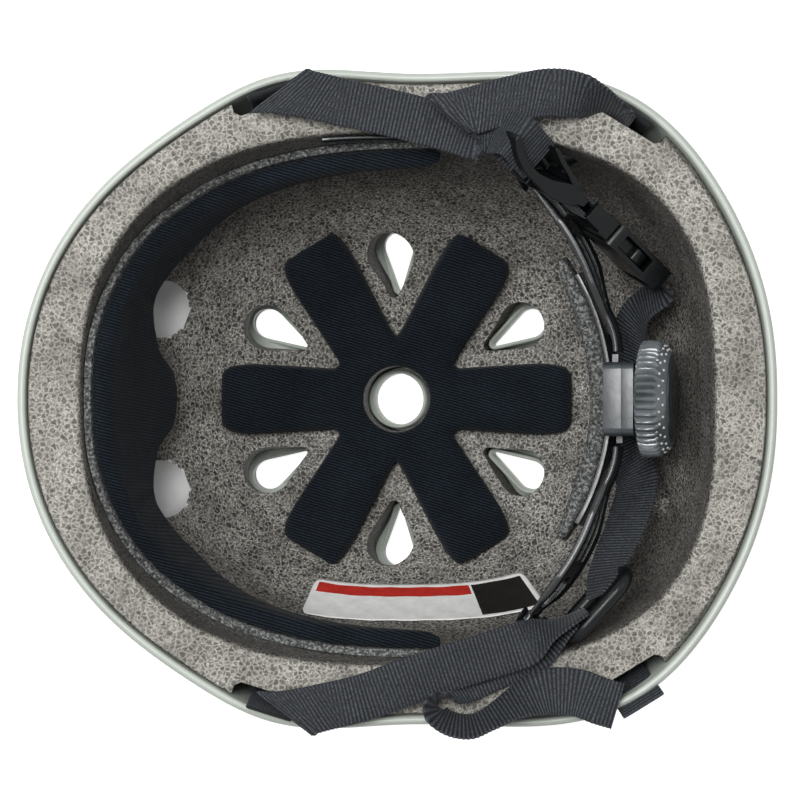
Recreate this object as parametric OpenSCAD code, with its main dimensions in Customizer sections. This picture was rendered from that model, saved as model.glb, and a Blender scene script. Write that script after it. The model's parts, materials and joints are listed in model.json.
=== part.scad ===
// Hard-shell helmet lying on its crown, opening upward.
// +X points to the rear of the helmet, +Y to the wearer's left side, +Z up towards the rim.
// The origin is on the floor under the middle of the shell. All lengths are millimetres.

/* [Shell] */
// Length of the shell from front to rear
shell_length = 271; // [262:1:290]
// Width of the shell across its middle, before the side bulges
shell_width = 231.5; // [226:0.5:250]
// Height of the rim above the crown at the rear
shell_height = 150; // [146:1:158]
// Thickness of the moulded shell
shell_t = 3.2; // [2.6:0.1:4]
// How far the rim is cut back over the ears
ear_arch = 5; // [0:0.5:8]
// How far the front rim lies under the rear rim
front_drop = 3; // [0:0.5:6]
// Roundness of the front half of the outline, 2 is an ellipse
front_full = 2.1; // [2:0.05:2.4]
// Roundness of the rear half of the outline
rear_full = 2.33; // [2.2:0.05:2.6]
// Height of the bulge at each rear corner
rear_bulge = 9.5; // [4:0.5:12]
// Height of the bulge ahead of each ear
side_bulge = 5.3; // [3:0.1:7]
// Squareness of the dome seen from the side
dome_square = 2.3; // [2.2:0.05:2.5]

/* [Foam liner] */
// Gap between the shell and the liner
liner_gap = 0.4; // [0.3:0.1:0.8]
// How far the liner stops short of the shell's rim
liner_setback = 1.5; // [0.5:0.5:4]
// Head space from the middle to the front wall
head_front = 111.5; // [108:0.5:114]
// Head space from the middle to the rear wall
head_rear = 113; // [111:0.5:115]
// Head space from the middle to each side wall
head_side = 95.3; // [93:0.1:97]
// Roundness of the head space at the front
head_front_full = 2.45; // [2.3:0.05:2.6]
// Roundness of the head space at the rear
head_rear_full = 2.9; // [2.7:0.05:3.1]
// Squareness of the head space seen from the side
head_square = 2.4; // [2.3:0.05:2.6]
// Height of the head space's floor above the ground
crown_z = 30; // [26:1:34]
// Height of the level seam between the liner's crown block and its wall ring
liner_seam_z = 58; // [56:1:62]

/* [Vents] */
// Lean of the crown vents towards the rear, in degrees
vent_lean = 8; // [0:1:10]
// Radius of the round crown vent in the liner
crown_vent_r = 13.6; // [12.8:0.1:14]
// Radius of the round crown vent in the shell
crown_vent_shell_r = 10.9; // [8:0.1:11]
// Number of teardrop vents round the crown
teardrops = 6; // [3:3:6]
// Distance from the middle to the round end of a teardrop at the head space
teardrop_in = 58.1; // [56:0.1:60]
// Distance from the middle to the round end of a teardrop at the shell
teardrop_out = 63.5; // [61:0.1:64]
// Radius of the round end of a teardrop in the liner
teardrop_r = 9.4; // [8.8:0.1:10]
// Radius of the round end of a teardrop in the shell
teardrop_shell_r = 6.2; // [4.5:0.1:6.6]
// Length of a teardrop from the round end's centre to the tip's centre
teardrop_l = 15; // [11:0.5:16]
// Height above the ground that the shell's vent lips reach
vent_lip_z = 22; // [17:1:25]
// Wall of a vent lip
vent_lip_t = 1.3; // [1:0.1:1.5]
// Height of the front vents above the ground
front_vent_z = 76; // [70:1:80]
// Width of a front vent
front_vent_w = 20; // [14:1:22]
// Height of a front vent
front_vent_h = 13; // [9:1:15]
// Angle from straight ahead to a front vent, in degrees
front_vent_a = 21; // [18:1:26]
// Height of the rear vents above the ground
rear_vent_z = 95; // [90:1:100]
// Diameter of a rear vent
rear_vent_d = 12; // [8:1:14]
// Angle from straight back to a rear vent, in degrees
rear_vent_a = 21.5; // [18:0.5:25]

/* [Pads] */
// Length of a crown pad petal from the middle
petal_l = 73; // [68:0.5:75]
// Half of a petal's width
petal_w = 14.6; // [12:0.1:15.4]
// Radius of the hole in the crown pad
crown_pad_hole_r = 13.9; // [13.8:0.1:16]
// Thickness of the crown pad
crown_pad_t = 7; // [4:0.5:9]
// Thickness of the hook fastener under a pad
hook_t = 0.6; // [0.5:0.1:1]
// Radius of a hook fastener dot
hook_r = 6; // [4:0.5:7]
// Thickness of the fabric-faced part of the brow pad
brow_pad_t = 6; // [4:0.5:8]
// Thickness of the bare foam behind the brow pad
brow_foam_t = 3.4; // [2:0.2:4]
// Half of the angle that the brow pad spans, in degrees
brow_span = 101; // [90:1:102]

/* [Label] */
// Height of the label's middle above the ground
label_z = 76; // [66:1:80]
// Height of the label measured up the wall
label_h = 23; // [8:1:26]
// Half of the angle that the label spans, in degrees
label_span = 30; // [15:1:32]
// Thickness of the label
label_t = 0.5; // [0.4:0.1:0.8]

/* [Cradle] */
// Lean of the dial's axis above level, in degrees
cradle_lean = 15; // [12:1:17]
// Distance from the middle of the helmet to the dial's front face
dial_x = 90; // [87:0.5:90.5]
// Depth of the dial's centre under the rim
dial_drop = 26; // [23:0.5:28]
// Diameter of the dial
dial_d = 43; // [36:0.5:43.5]
// Thickness of the dial
dial_t = 11.5; // [10.5:0.5:12]
// Number of grip ridges round the dial
dial_ridges = 46; // [36:2:72]
// Diameter of the cap on the dial's rear face
dial_cap_d = 31; // [24:0.5:33]
// Width of the ratchet housing
housing_w = 27; // [26:0.5:29]
// Height of the ratchet housing
housing_h = 26; // [24:0.5:28]
// Depth of the ratchet housing along the dial's axis
housing_depth = 11; // [10.5:0.5:12]
// Wall of the ratchet housing
housing_wall = 1.6; // [1.2:0.1:1.8]
// Thickness of the arms and racks
strip_t = 2.2; // [1.8:0.1:2.3]
// Height of an arm's band at its widest
arm_h = 19; // [16:0.5:20]
// Height of an arm's band in its bend
neck_h = 14; // [12:0.5:15]
// Radius of the bend where an arm turns to the housing
arm_bend_r = 30; // [26:1:34]
// Angle that an arm turns through in that bend, in degrees
arm_bend_a = 30; // [29:0.5:31]
// Length of the straight part of an arm up to its anchor pin
arm_straight = 58; // [56:0.5:59]
// Radius of the shank of an anchor pin
anchor_pin_r = 2.4; // [2:0.1:2.8]
// Radius that the nape band is bent to
nape_r = 95; // [88:1:105]
// Height of the nape band
nape_h = 15; // [11:0.5:15.5]
// Thickness of the nape band
nape_t = 1.8; // [1.4:0.1:2]
// Half of the angle that the nape band spans, in degrees
nape_span = 30; // [22:1:31]
// Thickness of the nape pad
nape_pad_t = 5.5; // [3:0.5:6.5]

/* [Straps] */
// Width of the webbing
web_w = 17; // [14:0.5:18]
// Thickness of the webbing
web_t = 1.5; // [1.2:0.1:1.7]
// Width of the pocket where a strap enters between shell and liner
pocket_w = 30; // [24:1:34]
// Depth of that pocket into the liner
pocket_d = 6; // [5:0.5:7]
// Radius of an anchor rivet's head
rivet_head_r = 5; // [4:0.5:6]

/* [Buckle] */
// Length of the buckle socket
socket_l = 31; // [29:0.5:32]
// Width of the buckle socket
socket_w = 24; // [23:0.5:25]
// Thickness of the buckle socket
socket_t = 9; // [8:0.5:9.5]
// Length of the plug's base that shows ahead of the socket
plug_base_l = 12; // [10:0.5:13]
// Length of a strap divider
divider_l = 28; // [25:0.5:30]
// Width of a strap divider at its wide end
divider_w = 25; // [23:0.5:27]
// Thickness of a strap divider
divider_t = 3; // [2.4:0.1:3.4]

/* [Hidden] */

abs_white = "#dce4dc";
foam_grey = "#8c877e";
pad_black = "#1c2126";
pad_foam = "#5e6461";
strap_grey = "#3b3f45";
smoke_grey = "#6f7376";
moulded_black = "#14181c";
steel = "#a8acb0";

// Gap between pieces that are only laid together
seat_gap = 0.35;
// Running gap of a pin in its hole
pin_gap = 0.08;
$fn = 48;
around = 72;
levels = 14;

// Places near the rim are written for a shell of this length, width and height
drawn_size = [271, 231.5, 150];
rim_lift = shell_height - drawn_size[2];
dial_z = shell_height - dial_drop;
function lifted(p) = [p[0], p[1], p[2] + rim_lift];
function over_rim(p) =
    [p[0] * shell_length / drawn_size[0], p[1] * shell_width / drawn_size[1], p[2] + rim_lift];

// Outlines and domes
function bump(a, centre, width) = exp(-pow((a - centre) / width, 2));
function from_rear(a) = abs(((a + 900) % 360) - 180);
function oval_r(a, rear, front, side, n_rear, n_front) =
    let (c = cos(a), along = c > 0 ? rear : front, n = c > 0 ? n_rear : n_front)
    pow(pow(abs(c) / along, n) + pow(abs(sin(a)) / side, n), -1 / n);
function shell_r(a, inset) =
    oval_r(a, shell_length / 2 - inset, shell_length / 2 - inset, shell_width / 2 - inset,
           rear_full, front_full)
    + rear_bulge * bump(from_rear(a), 54, 20) + side_bulge * bump(from_rear(a), 110, 15);
function head_r(a) =
    oval_r(a, head_rear, head_front, head_side, head_rear_full, head_front_full);
function rim_z(a) =
    shell_height - front_drop * (1 - cos(from_rear(a))) / 2 - ear_arch * bump(from_rear(a), 88, 26);

// The domes reach their widest 2 mm above the rim
widest_z = shell_height + 2;
function spread(z, floor_z, p) =
    pow(1 - pow((widest_z - z) / (widest_z - floor_z), p), 1 / p);
function rise(q, floor_z, p) =
    floor_z + (widest_z - floor_z) * (1 - pow(1 - pow(q, p), 1 / p));
function dome_point(a, share, r, floor_z, top_z, p) =
    let (last = acos(pow((widest_z - top_z) / (widest_z - floor_z), p / 2)),
         t = last * share, q = pow(sin(t), 2 / p))
    [r * q * cos(a), r * q * sin(a), floor_z + (widest_z - floor_z) * (1 - pow(cos(t), 2 / p))];
function polar(a, r, z) = [r * cos(a), r * sin(a), z];

// The head space's wall, and the direction that it faces
function wall_point(a, z) = polar(a, head_r(a) * spread(z, crown_z, head_square), z);
function wall_facing(a, z) =
    let (n = cross(wall_point(a, z + 0.5) - wall_point(a, z - 0.5),
                   wall_point(a + 0.5, z) - wall_point(a - 0.5, z)))
    n / norm(n);
function off_wall(a, z, gap) = wall_point(a, z) + gap * wall_facing(a, z);
function floor_point(a, r) = polar(a, r, rise(r / head_r(a), crown_z, head_square));
function floor_facing(a, r) =
    let (n = cross(floor_point(a, r + 0.5) - floor_point(a, r - 0.5),
                   floor_point(a + 0.5, r) - floor_point(a - 0.5, r)))
    n / norm(n);
function off_floor(a, r, gap) = floor_point(a, r) + gap * floor_facing(a, r);

// Faces of a skin over stations that each hold the same number of points
function skin(stations, points) = [
    for (s = [0:stations - 2], i = [0:points - 1])
        let (a = s * points + i, d = s * points + (i + 1) % points)
        each [[a, a + points, d + points], [a, d + points, d]]];
function wrap(stations, points) = [
    for (i = [0:points - 1])
        let (a = (stations - 1) * points + i, d = (stations - 1) * points + (i + 1) % points)
        each [[a, i, (i + 1) % points], [a, (i + 1) % points, d]]];
function end_caps(stations, points) = [
    for (i = [1:points - 2])
        let (e = (stations - 1) * points)
        each [[0, i, i + 1], [e, e + i + 1, e + i]]];
module skinned(loops) {
    points = len(loops[0]);
    polyhedron([for (l = loops) each l],
               concat(skin(len(loops), points), end_caps(len(loops), points)), convexity = 8);
}
module bowl(rings, first_pole, last_pole) {
    points = len(rings[0]);
    count = len(rings) * points;
    last = count - points;
    polyhedron(concat([for (r = rings) each r], [first_pole, last_pole]),
               concat(skin(len(rings), points),
                      [for (i = [0:points - 1]) [count, i, (i + 1) % points]],
                      [for (i = [0:points - 1]) [last + i, count + 1, last + (i + 1) % points]]),
               convexity = 8);
}

// A flat strap swept along smoothed route points, with a width direction at each
function smooth4(a, b, c, d, t) =
    0.5 * (2 * b + (c - a) * t + (2 * a - 5 * b + 4 * c - d) * t * t
           + (3 * b - a - 3 * c + d) * t * t * t);
function smoothed(list, steps) = [
    for (i = [0:len(list) - 2], k = [0:steps - 1])
        smooth4(list[max(i - 1, 0)], list[i], list[i + 1], list[min(i + 2, len(list) - 1)], k / steps),
    list[len(list) - 1]];
function unit(v) = v / norm(v);
module strap(route, widths, steps = 5) {
    path = smoothed(route, steps);
    across = smoothed(widths, steps);
    last = len(path) - 1;
    skinned([for (i = [0:last])
        let (t = unit(path[min(i + 1, last)] - path[max(i - 1, 0)]),
             w = unit(across[i] - (across[i] * t) * t) * web_w / 2,
             n = unit(cross(t, w)) * web_t / 2)
        [path[i] + w + n, path[i] - w + n, path[i] - w - n, path[i] + w - n]]);
}
module facing(p, n) translate(p) rotate([0, acos(n[2]), atan2(n[1], n[0])]) children();

// Vents
module vent_axis() translate([0, 0, crown_z]) rotate([0, -vent_lean, 0]) children();
// Outline of a teardrop whose tip points at the middle
function teardrop(far, r, l, tip) =
    let (turn = acos((r - tip) / l))
    concat([for (k = [0:12]) let (a = 180 + turn + k * (360 - 2 * turn) / 12)
                [far + r * cos(a), r * sin(a)]],
           [for (k = [0:4]) let (a = 180 - turn + k * 2 * turn / 4)
                [far - l + tip * cos(a), tip * sin(a)]]);
module teardrop_cut() {
    outer_l = teardrop_l + 3.8;
    skinned([
        [for (p = teardrop(teardrop_out + 0.3, teardrop_r + 0.5, outer_l, 2)) [p[0], p[1], -crown_z - 2]],
        [for (p = teardrop(teardrop_out - 0.2, teardrop_r + 0.5, outer_l, 2)) [p[0], p[1], -14]],
        [for (p = teardrop(teardrop_in, teardrop_r, teardrop_l, 2)) [p[0], p[1], 18]],
        [for (p = teardrop(teardrop_in - 1, teardrop_r, teardrop_l, 2)) [p[0], p[1], 34]]]);
}
module each_teardrop() for (k = [0:teardrops - 1]) rotate([0, 0, 30 + k * 360 / teardrops]) children();
module shell_teardrop(grow) {
    polygon(teardrop(teardrop_out, teardrop_shell_r + grow, teardrop_l + 2.3, 1.2 + grow));
}
// A level opening through the wall in direction a
module wall_vent(a, z, w, h) {
    rotate([0, 0, a]) translate([60, 0, z]) rotate([90, 0, 90])
        linear_extrude(100) hull() {
            translate([(w - h) / 2, 0]) circle(d = h, $fn = 32);
            translate([(h - w) / 2, 0]) circle(d = h, $fn = 32);
        }
}
module wall_vents(shrink) {
    for (s = [-1, 1]) {
        wall_vent(180 + s * front_vent_a, front_vent_z, front_vent_w - shrink, front_vent_h - shrink);
        rotate([0, 0, s * rear_vent_a]) translate([60, 0, rear_vent_z]) rotate([0, 90, 0])
            cylinder(h = 100, d = rear_vent_d - shrink);
    }
}

// Outer shell, whose lowest point is cut away by the crown vent
crown_dip = 0.35;
crown_vent_shift = -1.2;
rim_round = 1.4;
function shell_rings(inset, floor_z, up) = [
    for (j = up ? [1:levels] : [levels:-1:1])
        [for (i = [0:around - 1]) let (a = i * 360 / around)
            dome_point(a, j / levels, shell_r(a, inset), floor_z, rim_z(a) - rim_round, dome_square)]];
function rim_ring(inset, drop) = [
    for (i = [0:around - 1]) let (a = i * 360 / around) polar(a, shell_r(a, inset), rim_z(a) - drop)];
module shell_dome() {
    floor_in = shell_t - crown_dip;
    bowl(concat(shell_rings(0, -crown_dip, true),
                [rim_ring(0.35, 0.4), rim_ring(shell_t * 0.3, 0), rim_ring(shell_t * 0.7, 0),
                 rim_ring(shell_t - 0.35, 0.4)],
                shell_rings(shell_t, floor_in, false)),
         [0, 0, -crown_dip], [0, 0, floor_in]);
}
// The solid crown under height z, which trims the vent lips
module crown_core() {
    inset = 0.05;
    rings = [for (j = [0:7]) shell_rings(inset, inset - crown_dip, true)[j]];
    bowl(rings, [0, 0, inset - crown_dip], [0, 0, rings[7][0][2]]);
}
module outer_shell() {
    color(abs_white) difference() {
        union() {
            shell_dome();
            intersection() {
                crown_core();
                vent_axis() union() {
                    each_teardrop() translate([0, 0, -crown_z - 8])
                        linear_extrude(vent_lip_z + 8) shell_teardrop(vent_lip_t);
                    translate([crown_vent_shift, 0, -crown_z - 8])
                        cylinder(h = vent_lip_z + 4, r = crown_vent_shell_r + vent_lip_t);
                }
            }
        }
        vent_axis() {
            each_teardrop() translate([0, 0, -crown_z - 12]) linear_extrude(80) shell_teardrop(0);
            translate([crown_vent_shift, 0, -crown_z - 12]) cylinder(h = 80, r = crown_vent_shell_r);
        }
        wall_vents(3);
        at_rivets() cylinder(h = 30, r = rivet_shank_r + pin_gap, center = true);
    }
}

// Strap anchors: directions from the middle, and the rivets in the shell
anchor_angles = [112, 51, -112, -51];
rivet_z = shell_height - 26;
rivet_shank_r = 2;
function shell_out(a, z, inset) = polar(a, shell_r(a, inset) * spread(z, inset, dome_square), z);
function shell_heading(a) =
    let (t = shell_out(a + 0.5, rivet_z, 0) - shell_out(a - 0.5, rivet_z, 0)) atan2(-t[0], t[1]);
function outward(a) = [cos(shell_heading(a)), sin(shell_heading(a)), 0];
strap_in = shell_t + 1.8;
module at_rivets() {
    for (a = anchor_angles)
        translate(shell_out(a, rivet_z, 0)) rotate([0, 90, shell_heading(a)]) children();
}
module strap_rivets() {
    clamp_z = -strap_in - web_t - 2 * seat_gap - 0.8;
    color(steel) at_rivets() union() {
        translate([0, 0, clamp_z]) cylinder(h = -clamp_z + 0.6, r = rivet_shank_r);
        translate([0, 0, seat_gap]) cylinder(h = 1.5, r1 = rivet_head_r, r2 = rivet_head_r - 1.3);
        translate([0, 0, clamp_z]) cylinder(h = 0.8, r = rivet_head_r - 0.6);
    }
}

// Foam liner: a crown block, and a wall ring in four quarters that stands on its level seam
seam_gap = 0.1;
liner_inset = shell_t + liner_gap;
liner_floor = liner_inset - crown_dip;
function liner_rim(a) = rim_z(a) - liner_setback;
module liner_dome() {
    angles = [for (i = [0:around - 1]) i * 360 / around];
    inner_levels = 16;
    bowl(concat(
        [for (j = [1:levels]) [for (a = angles)
            dome_point(a, j / levels, shell_r(a, liner_inset), liner_floor, liner_rim(a) - 0.8,
                       dome_square)]],
        [[for (a = angles) polar(a, shell_r(a, liner_inset + 0.7), liner_rim(a))],
         [for (a = angles) polar(a, head_r(a) + 4, liner_rim(a))],
         [for (a = angles) polar(a, head_r(a) + 1.2, liner_rim(a) - 1)]],
        [for (j = [inner_levels:-1:1]) [for (a = angles)
            dome_point(a, j / inner_levels, head_r(a), crown_z, liner_rim(a) - 3.6, head_square)]]),
        [0, 0, liner_floor], [0, 0, crown_z]);
}
module strap_pockets() {
    for (a = anchor_angles)
        translate(shell_out(a, rivet_z, 0)) rotate([0, 0, shell_heading(a)])
            translate([-liner_inset - pocket_d, -pocket_w / 2, -14]) cube([20, pocket_w, 60]);
}
module foam_liner() {
    difference() {
        liner_dome();
        vent_axis() {
            each_teardrop() teardrop_cut();
            translate([0, 0, -crown_z - 6]) cylinder(h = 60, r = crown_vent_r);
        }
        wall_vents(0);
        strap_pockets();
        for (s = [-1, 1]) arm_anchor_at(s) cylinder(h = anchor_depth + 1, r = anchor_r + pin_gap);
    }
}
// The moulding of the liner between two heights, half a seam clear of its neighbour
module liner_between(low, high) {
    intersection() {
        foam_liner();
        translate([-shell_length / 2, -shell_width / 2, low + seam_gap / 2])
            cube([shell_length, shell_width, high - low - seam_gap]);
    }
}
module liner_crown() {
    color(foam_grey) liner_between(0, liner_seam_z);
}
// A quarter of the wall ring: to the rear where x_side is 1, to the left where y_side is 1
module liner_quarter(x_side, y_side) {
    color(foam_grey) intersection() {
        liner_between(liner_seam_z, shell_height);
        translate([x_side * (shell_length + seam_gap) / 2, y_side * (shell_width + seam_gap) / 2,
                   shell_height / 2])
            cube([shell_length, shell_width, shell_height], center = true);
    }
}

// Crown pad with six petals
hook_gap = 0.55;
pad_gap = hook_gap + hook_t + 0.2;
petal_turns = [-30, -24, -19, -15, -12.5, -10, -5.5, 0, 5.5, 10, 12.5, 15, 19, 24];
function petal_r(turn, l, w) = pow(pow(abs(sin(turn)) / w, 8) + pow(cos(turn) / l, 8), -1 / 8);
// Share of the way from the hole to the edge, and share of the thickness
crown_pad_loop = [
    [1, 0.5], [0.985, 0], [0.75, 0], [0.5, 0], [0.25, 0], [0.015, 0], [0, 0.5],
    [0.04, 0.92], [0.25, 1], [0.5, 1], [0.75, 1], [0.95, 0.94]];
module crown_pad() {
    angles = [for (k = [0:5], t = petal_turns) [60 * k + t, t]];
    loops = [for (at = angles) let (edge = petal_r(at[1], petal_l, petal_w))
        [for (p = crown_pad_loop)
            off_floor(at[0], crown_pad_hole_r + p[0] * (edge - crown_pad_hole_r),
                      pad_gap + p[1] * crown_pad_t)]];
    points = len(crown_pad_loop);
    color(pad_black) polyhedron([for (l = loops) each l],
        concat(skin(len(loops), points), wrap(len(loops), points)), convexity = 8);
}
module crown_pad_hooks() {
    color(moulded_black) for (k = [0:5])
        facing(off_floor(60 * k, 0.72 * petal_l, hook_gap), floor_facing(60 * k, 0.72 * petal_l))
            cylinder(h = hook_t, r = hook_r);
}

// Brow pad: depths of its edges under the rim against the angle from straight ahead
brow_top = [[0, 14], [8, 16], [22, 28], [44, 33], [65, 30], [90, 21], [102, 19]];
brow_bottom = [[0, 72], [6, 70], [11, 51], [22, 43], [38, 50], [65, 39], [90, 29], [102, 23]];
function brow_high(turn) = shell_height - lookup(turn, brow_top);
function brow_low(turn) = shell_height - lookup(turn, brow_bottom);
brow_stations = [for (k = [0:52]) 180 - brow_span + k * 2 * brow_span / 52];
module wall_pad(loop, trim) {
    skinned([for (a = brow_stations)
        let (turn = abs(a - 180), low = brow_low(turn) + trim, high = brow_high(turn) - trim)
        [for (p = loop) off_wall(a, low + p[1] * (high - low), p[0])]]);
}
module brow_pad() {
    back = pad_gap + brow_foam_t + 0.6;
    color(pad_black) wall_pad([for (p = [
        [0, 1], [0, 0.67], [0, 0.33], [0, 0], [0.5, -0.01], [0.86, 0.07], [1, 0.27], [1, 0.5],
        [1, 0.73], [0.86, 0.93], [0.5, 1.01]])
        [back + p[0] * brow_pad_t, p[1]]], 0.6);
}
module brow_pad_foam() {
    out = pad_gap + brow_foam_t;
    color(pad_foam) wall_pad([
        [pad_gap, 1], [pad_gap, 0.5], [pad_gap, 0], [out, 0], [out, 0.33], [out, 0.67], [out, 1]], 0);
}
module brow_pad_hooks() {
    color(moulded_black) for (turn = [-75, -45, -15, 15, 45, 75]) {
        a = 180 + turn;
        z = (brow_high(abs(turn)) + brow_low(abs(turn))) / 2;
        facing(off_wall(a, z, hook_gap), wall_facing(a, z)) cylinder(h = hook_t, r = hook_r - 1.5);
    }
}

// Blank sticker on the right wall
label_a = -84;
module blank_sticker() {
    color("white") skinned([for (k = [0:20])
        let (a = label_a - label_span + k * label_span / 10)
        [for (p = [[seat_gap, 0.5], [seat_gap, -0.5], [seat_gap + label_t, -0.5], [seat_gap + label_t, 0.5]])
            off_wall(a, label_z + p[1] * label_h, p[0])]]);
}

// End of the front band, above the left end of the brow pad
module front_band_end() {
    color(moulded_black) skinned([for (a = [88:2:106])
        [for (p = [[0, 1.5], [0, 10.5], [1.2, 10.5], [1.2, 1.5]])
            off_wall(a, liner_rim(a) - p[1], seat_gap + p[0])]]);
}

// Cradle frame: +Z runs along the dial's axis from the dial's front face, -X is up
module dial_frame() translate([dial_x, 0, dial_z]) rotate([0, 90 - cradle_lean, 0]) children();
module rounded(h, w, r) {
    square([h - 2 * r, w], center = true);
    square([h, w - 2 * r], center = true);
    for (i = [-1, 1], j = [-1, 1]) translate([i * (h / 2 - r), j * (w / 2 - r)]) circle(r = r);
}
module at_corners(x, y) for (i = [-1, 1], j = [-1, 1]) translate([i * x, j * y]) children();

housing_near = -1.2;
housing_far = housing_near - housing_depth;
housing_floor = housing_far + housing_wall;
housing_split = housing_near - 4.4;
rack_plane = housing_floor + 2.1;
corner_r = 3;
post_r = 1.9;
post_x = housing_h / 2 - 3;
post_y = housing_w / 2 - 3.2;
shaft_r = 2.9;
journal_r = 1.8;
boss_drop = housing_h / 2 + 1.8;
boss_y = 8;
boss_r = 1.9;
boss_l = nape_t + 0.45;

// Pinion and racks
pinion_teeth = 10;
gear_module = 0.8;
pitch_r = gear_module * pinion_teeth / 2;
tooth_tip = 0.75 * gear_module;
tooth_root = 1.3 * gear_module;
rack_edge = pitch_r + 3.6;
rack_tip = 4.6;
hinge_y = housing_w / 2 + 3;
hinge_gap = 0.2;
hinge_relief = 12.5;
hinge_x = dial_x + rack_plane * cos(cradle_lean);
hinge_z = dial_z + rack_plane * sin(cradle_lean);

module pinion_shape() {
    polygon([for (k = [0:pinion_teeth - 1],
                  p = [[-tooth_root, -12], [0, -6.2], [tooth_tip, -2.5],
                       [tooth_tip, 2.5], [0, 6.2], [-tooth_root, 12]])
        let (a = (k + 0.5) * 360 / pinion_teeth + p[1], r = pitch_r + p[0])
        [r * cos(a), r * sin(a)]]);
}
module rack_shape() {
    root = pitch_r + tooth_root;
    end = hinge_y - hinge_gap;
    translate([-rack_edge, -rack_tip]) square([rack_edge - root, end + rack_tip]);
    translate([-rack_edge, 12.2]) square([rack_edge - 2.5, end - 12.2]);
    for (k = [-1:3]) translate([-root, k * PI * gear_module])
        polygon([[-0.3, -0.85], [0, -0.85], [tooth_root, -0.43], [tooth_root + tooth_tip, -0.25],
                 [tooth_root + tooth_tip, 0.25], [tooth_root, 0.43], [0, 0.85], [-0.3, 0.85]]);
}
module rack() {
    dial_frame() translate([0, 0, rack_plane - strip_t / 2]) linear_extrude(strip_t) children();
}
module rack_left() {
    color(moulded_black) rack() rack_shape();
}
module rack_right() {
    color(moulded_black) rack() rotate(180) rack_shape();
}

module housing_outline() {
    rounded(housing_h, housing_w, corner_r);
}
module housing_room() {
    rounded(housing_h - 2 * housing_wall, housing_w - 2 * housing_wall, corner_r - housing_wall);
}
module housing_mouths() {
    for (s = [-1, 1]) translate([0, s * housing_w / 2, rack_plane])
        cube([2 * rack_edge + 0.8, 4, strip_t + 2.8], center = true);
}
module housing_front() {
    color(smoke_grey) dial_frame() difference() {
        union() {
            translate([0, 0, housing_far]) linear_extrude(housing_split - housing_far) difference() {
                housing_outline();
                housing_room();
            }
            translate([0, 0, housing_far]) linear_extrude(housing_wall) housing_outline();
            translate([0, 0, housing_far]) at_corners(post_x, post_y)
                cylinder(h = housing_split - housing_far, r = post_r);
            translate([0, 0, housing_far]) cylinder(h = housing_wall + 0.4, r = 3.4);
            for (s = [-1, 1]) translate([s * (pitch_r + 2.3), 0, housing_floor])
                cube([2.2, 2 * (housing_w / 2 - 3), 1.3], center = true);
            translate([housing_h / 2 - 2, -12, housing_far]) cube([9, 24, 2.2]);
            for (s = [-1, 1]) translate([boss_drop, s * boss_y, housing_far - boss_l])
                cylinder(h = boss_l + 1, r = boss_r);
        }
        translate([0, 0, housing_far + 0.6]) cylinder(h = 6, r = journal_r + pin_gap);
        translate([0, 0, housing_floor]) at_corners(post_x, post_y) cylinder(h = 8, r = 0.9);
        housing_mouths();
    }
}
ratchet_teeth = 24;
ratchet_r = 10;
module housing_back() {
    start = housing_split + 0.05;
    color(smoke_grey) dial_frame() difference() {
        union() {
            translate([0, 0, start]) linear_extrude(housing_near - start) difference() {
                housing_outline();
                housing_room();
            }
            translate([0, 0, housing_near - housing_wall]) linear_extrude(housing_wall) housing_outline();
            translate([0, 0, start]) at_corners(post_x, post_y)
                cylinder(h = housing_near - start, r = post_r);
            translate([0, 0, start + 0.4]) linear_extrude(housing_near - start - 1) difference() {
                circle(r = ratchet_r + 1);
                polygon([for (k = [0:2 * ratchet_teeth - 1])
                    let (a = k * 180 / ratchet_teeth, r = ratchet_r - (k % 2) * 0.8)
                    [r * cos(a), r * sin(a)]]);
            }
        }
        cylinder(h = 20, r = shaft_r + pin_gap, center = true);
        translate([0, 0, housing_split - 1]) at_corners(post_x, post_y) cylinder(h = 8, r = 1.1);
        translate([0, 0, housing_near - 1.1]) at_corners(post_x, post_y) cylinder(h = 8, r = 1.75);
    }
}
module housing_screws() {
    color(steel) dial_frame() at_corners(post_x, post_y) union() {
        translate([0, 0, housing_near - 1.05]) cylinder(h = 1, r = 1.6);
        translate([0, 0, housing_floor + 0.4]) cylinder(h = housing_near - housing_floor - 1, r = 0.85);
    }
}
module ratchet_spring() {
    hub_r = shaft_r + pin_gap;
    color(steel) dial_frame() translate([0, 0, housing_split + 0.6]) linear_extrude(1.8) {
        difference() {
            union() {
                circle(r = hub_r + 1.6);
                for (s = [0, 180]) rotate(s) difference() {
                    translate([0, 1.9]) circle(r = 6.9);
                    translate([0, 1.9]) circle(r = 6.1);
                    translate([-20, -20]) square([20, 40]);
                }
                for (s = [0, 180]) rotate(s) polygon([[-0.2, 7.9], [1.4, 7.9], [0.6, 8.9], [-0.2, 8.9]]);
            }
            circle(r = hub_r);
        }
    }
}
module pinion_shaft() {
    gear_t = strip_t + 0.4;
    color(steel) dial_frame() difference() {
        union() {
            translate([0, 0, housing_far + 0.8]) cylinder(h = 4, r = journal_r);
            translate([0, 0, rack_plane - gear_t / 2]) linear_extrude(gear_t) pinion_shape();
            translate([0, 0, rack_plane + gear_t / 2 - 0.2])
                cylinder(h = -rack_plane - gear_t / 2 - 0.3, r = shaft_r);
            translate([-2, -2, -1]) cube([4, 4, hub_l - 0.2 + 1]);
        }
        translate([0, 0, hub_l - 6]) cylinder(h = 8, r = 1.1);
    }
}

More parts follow.
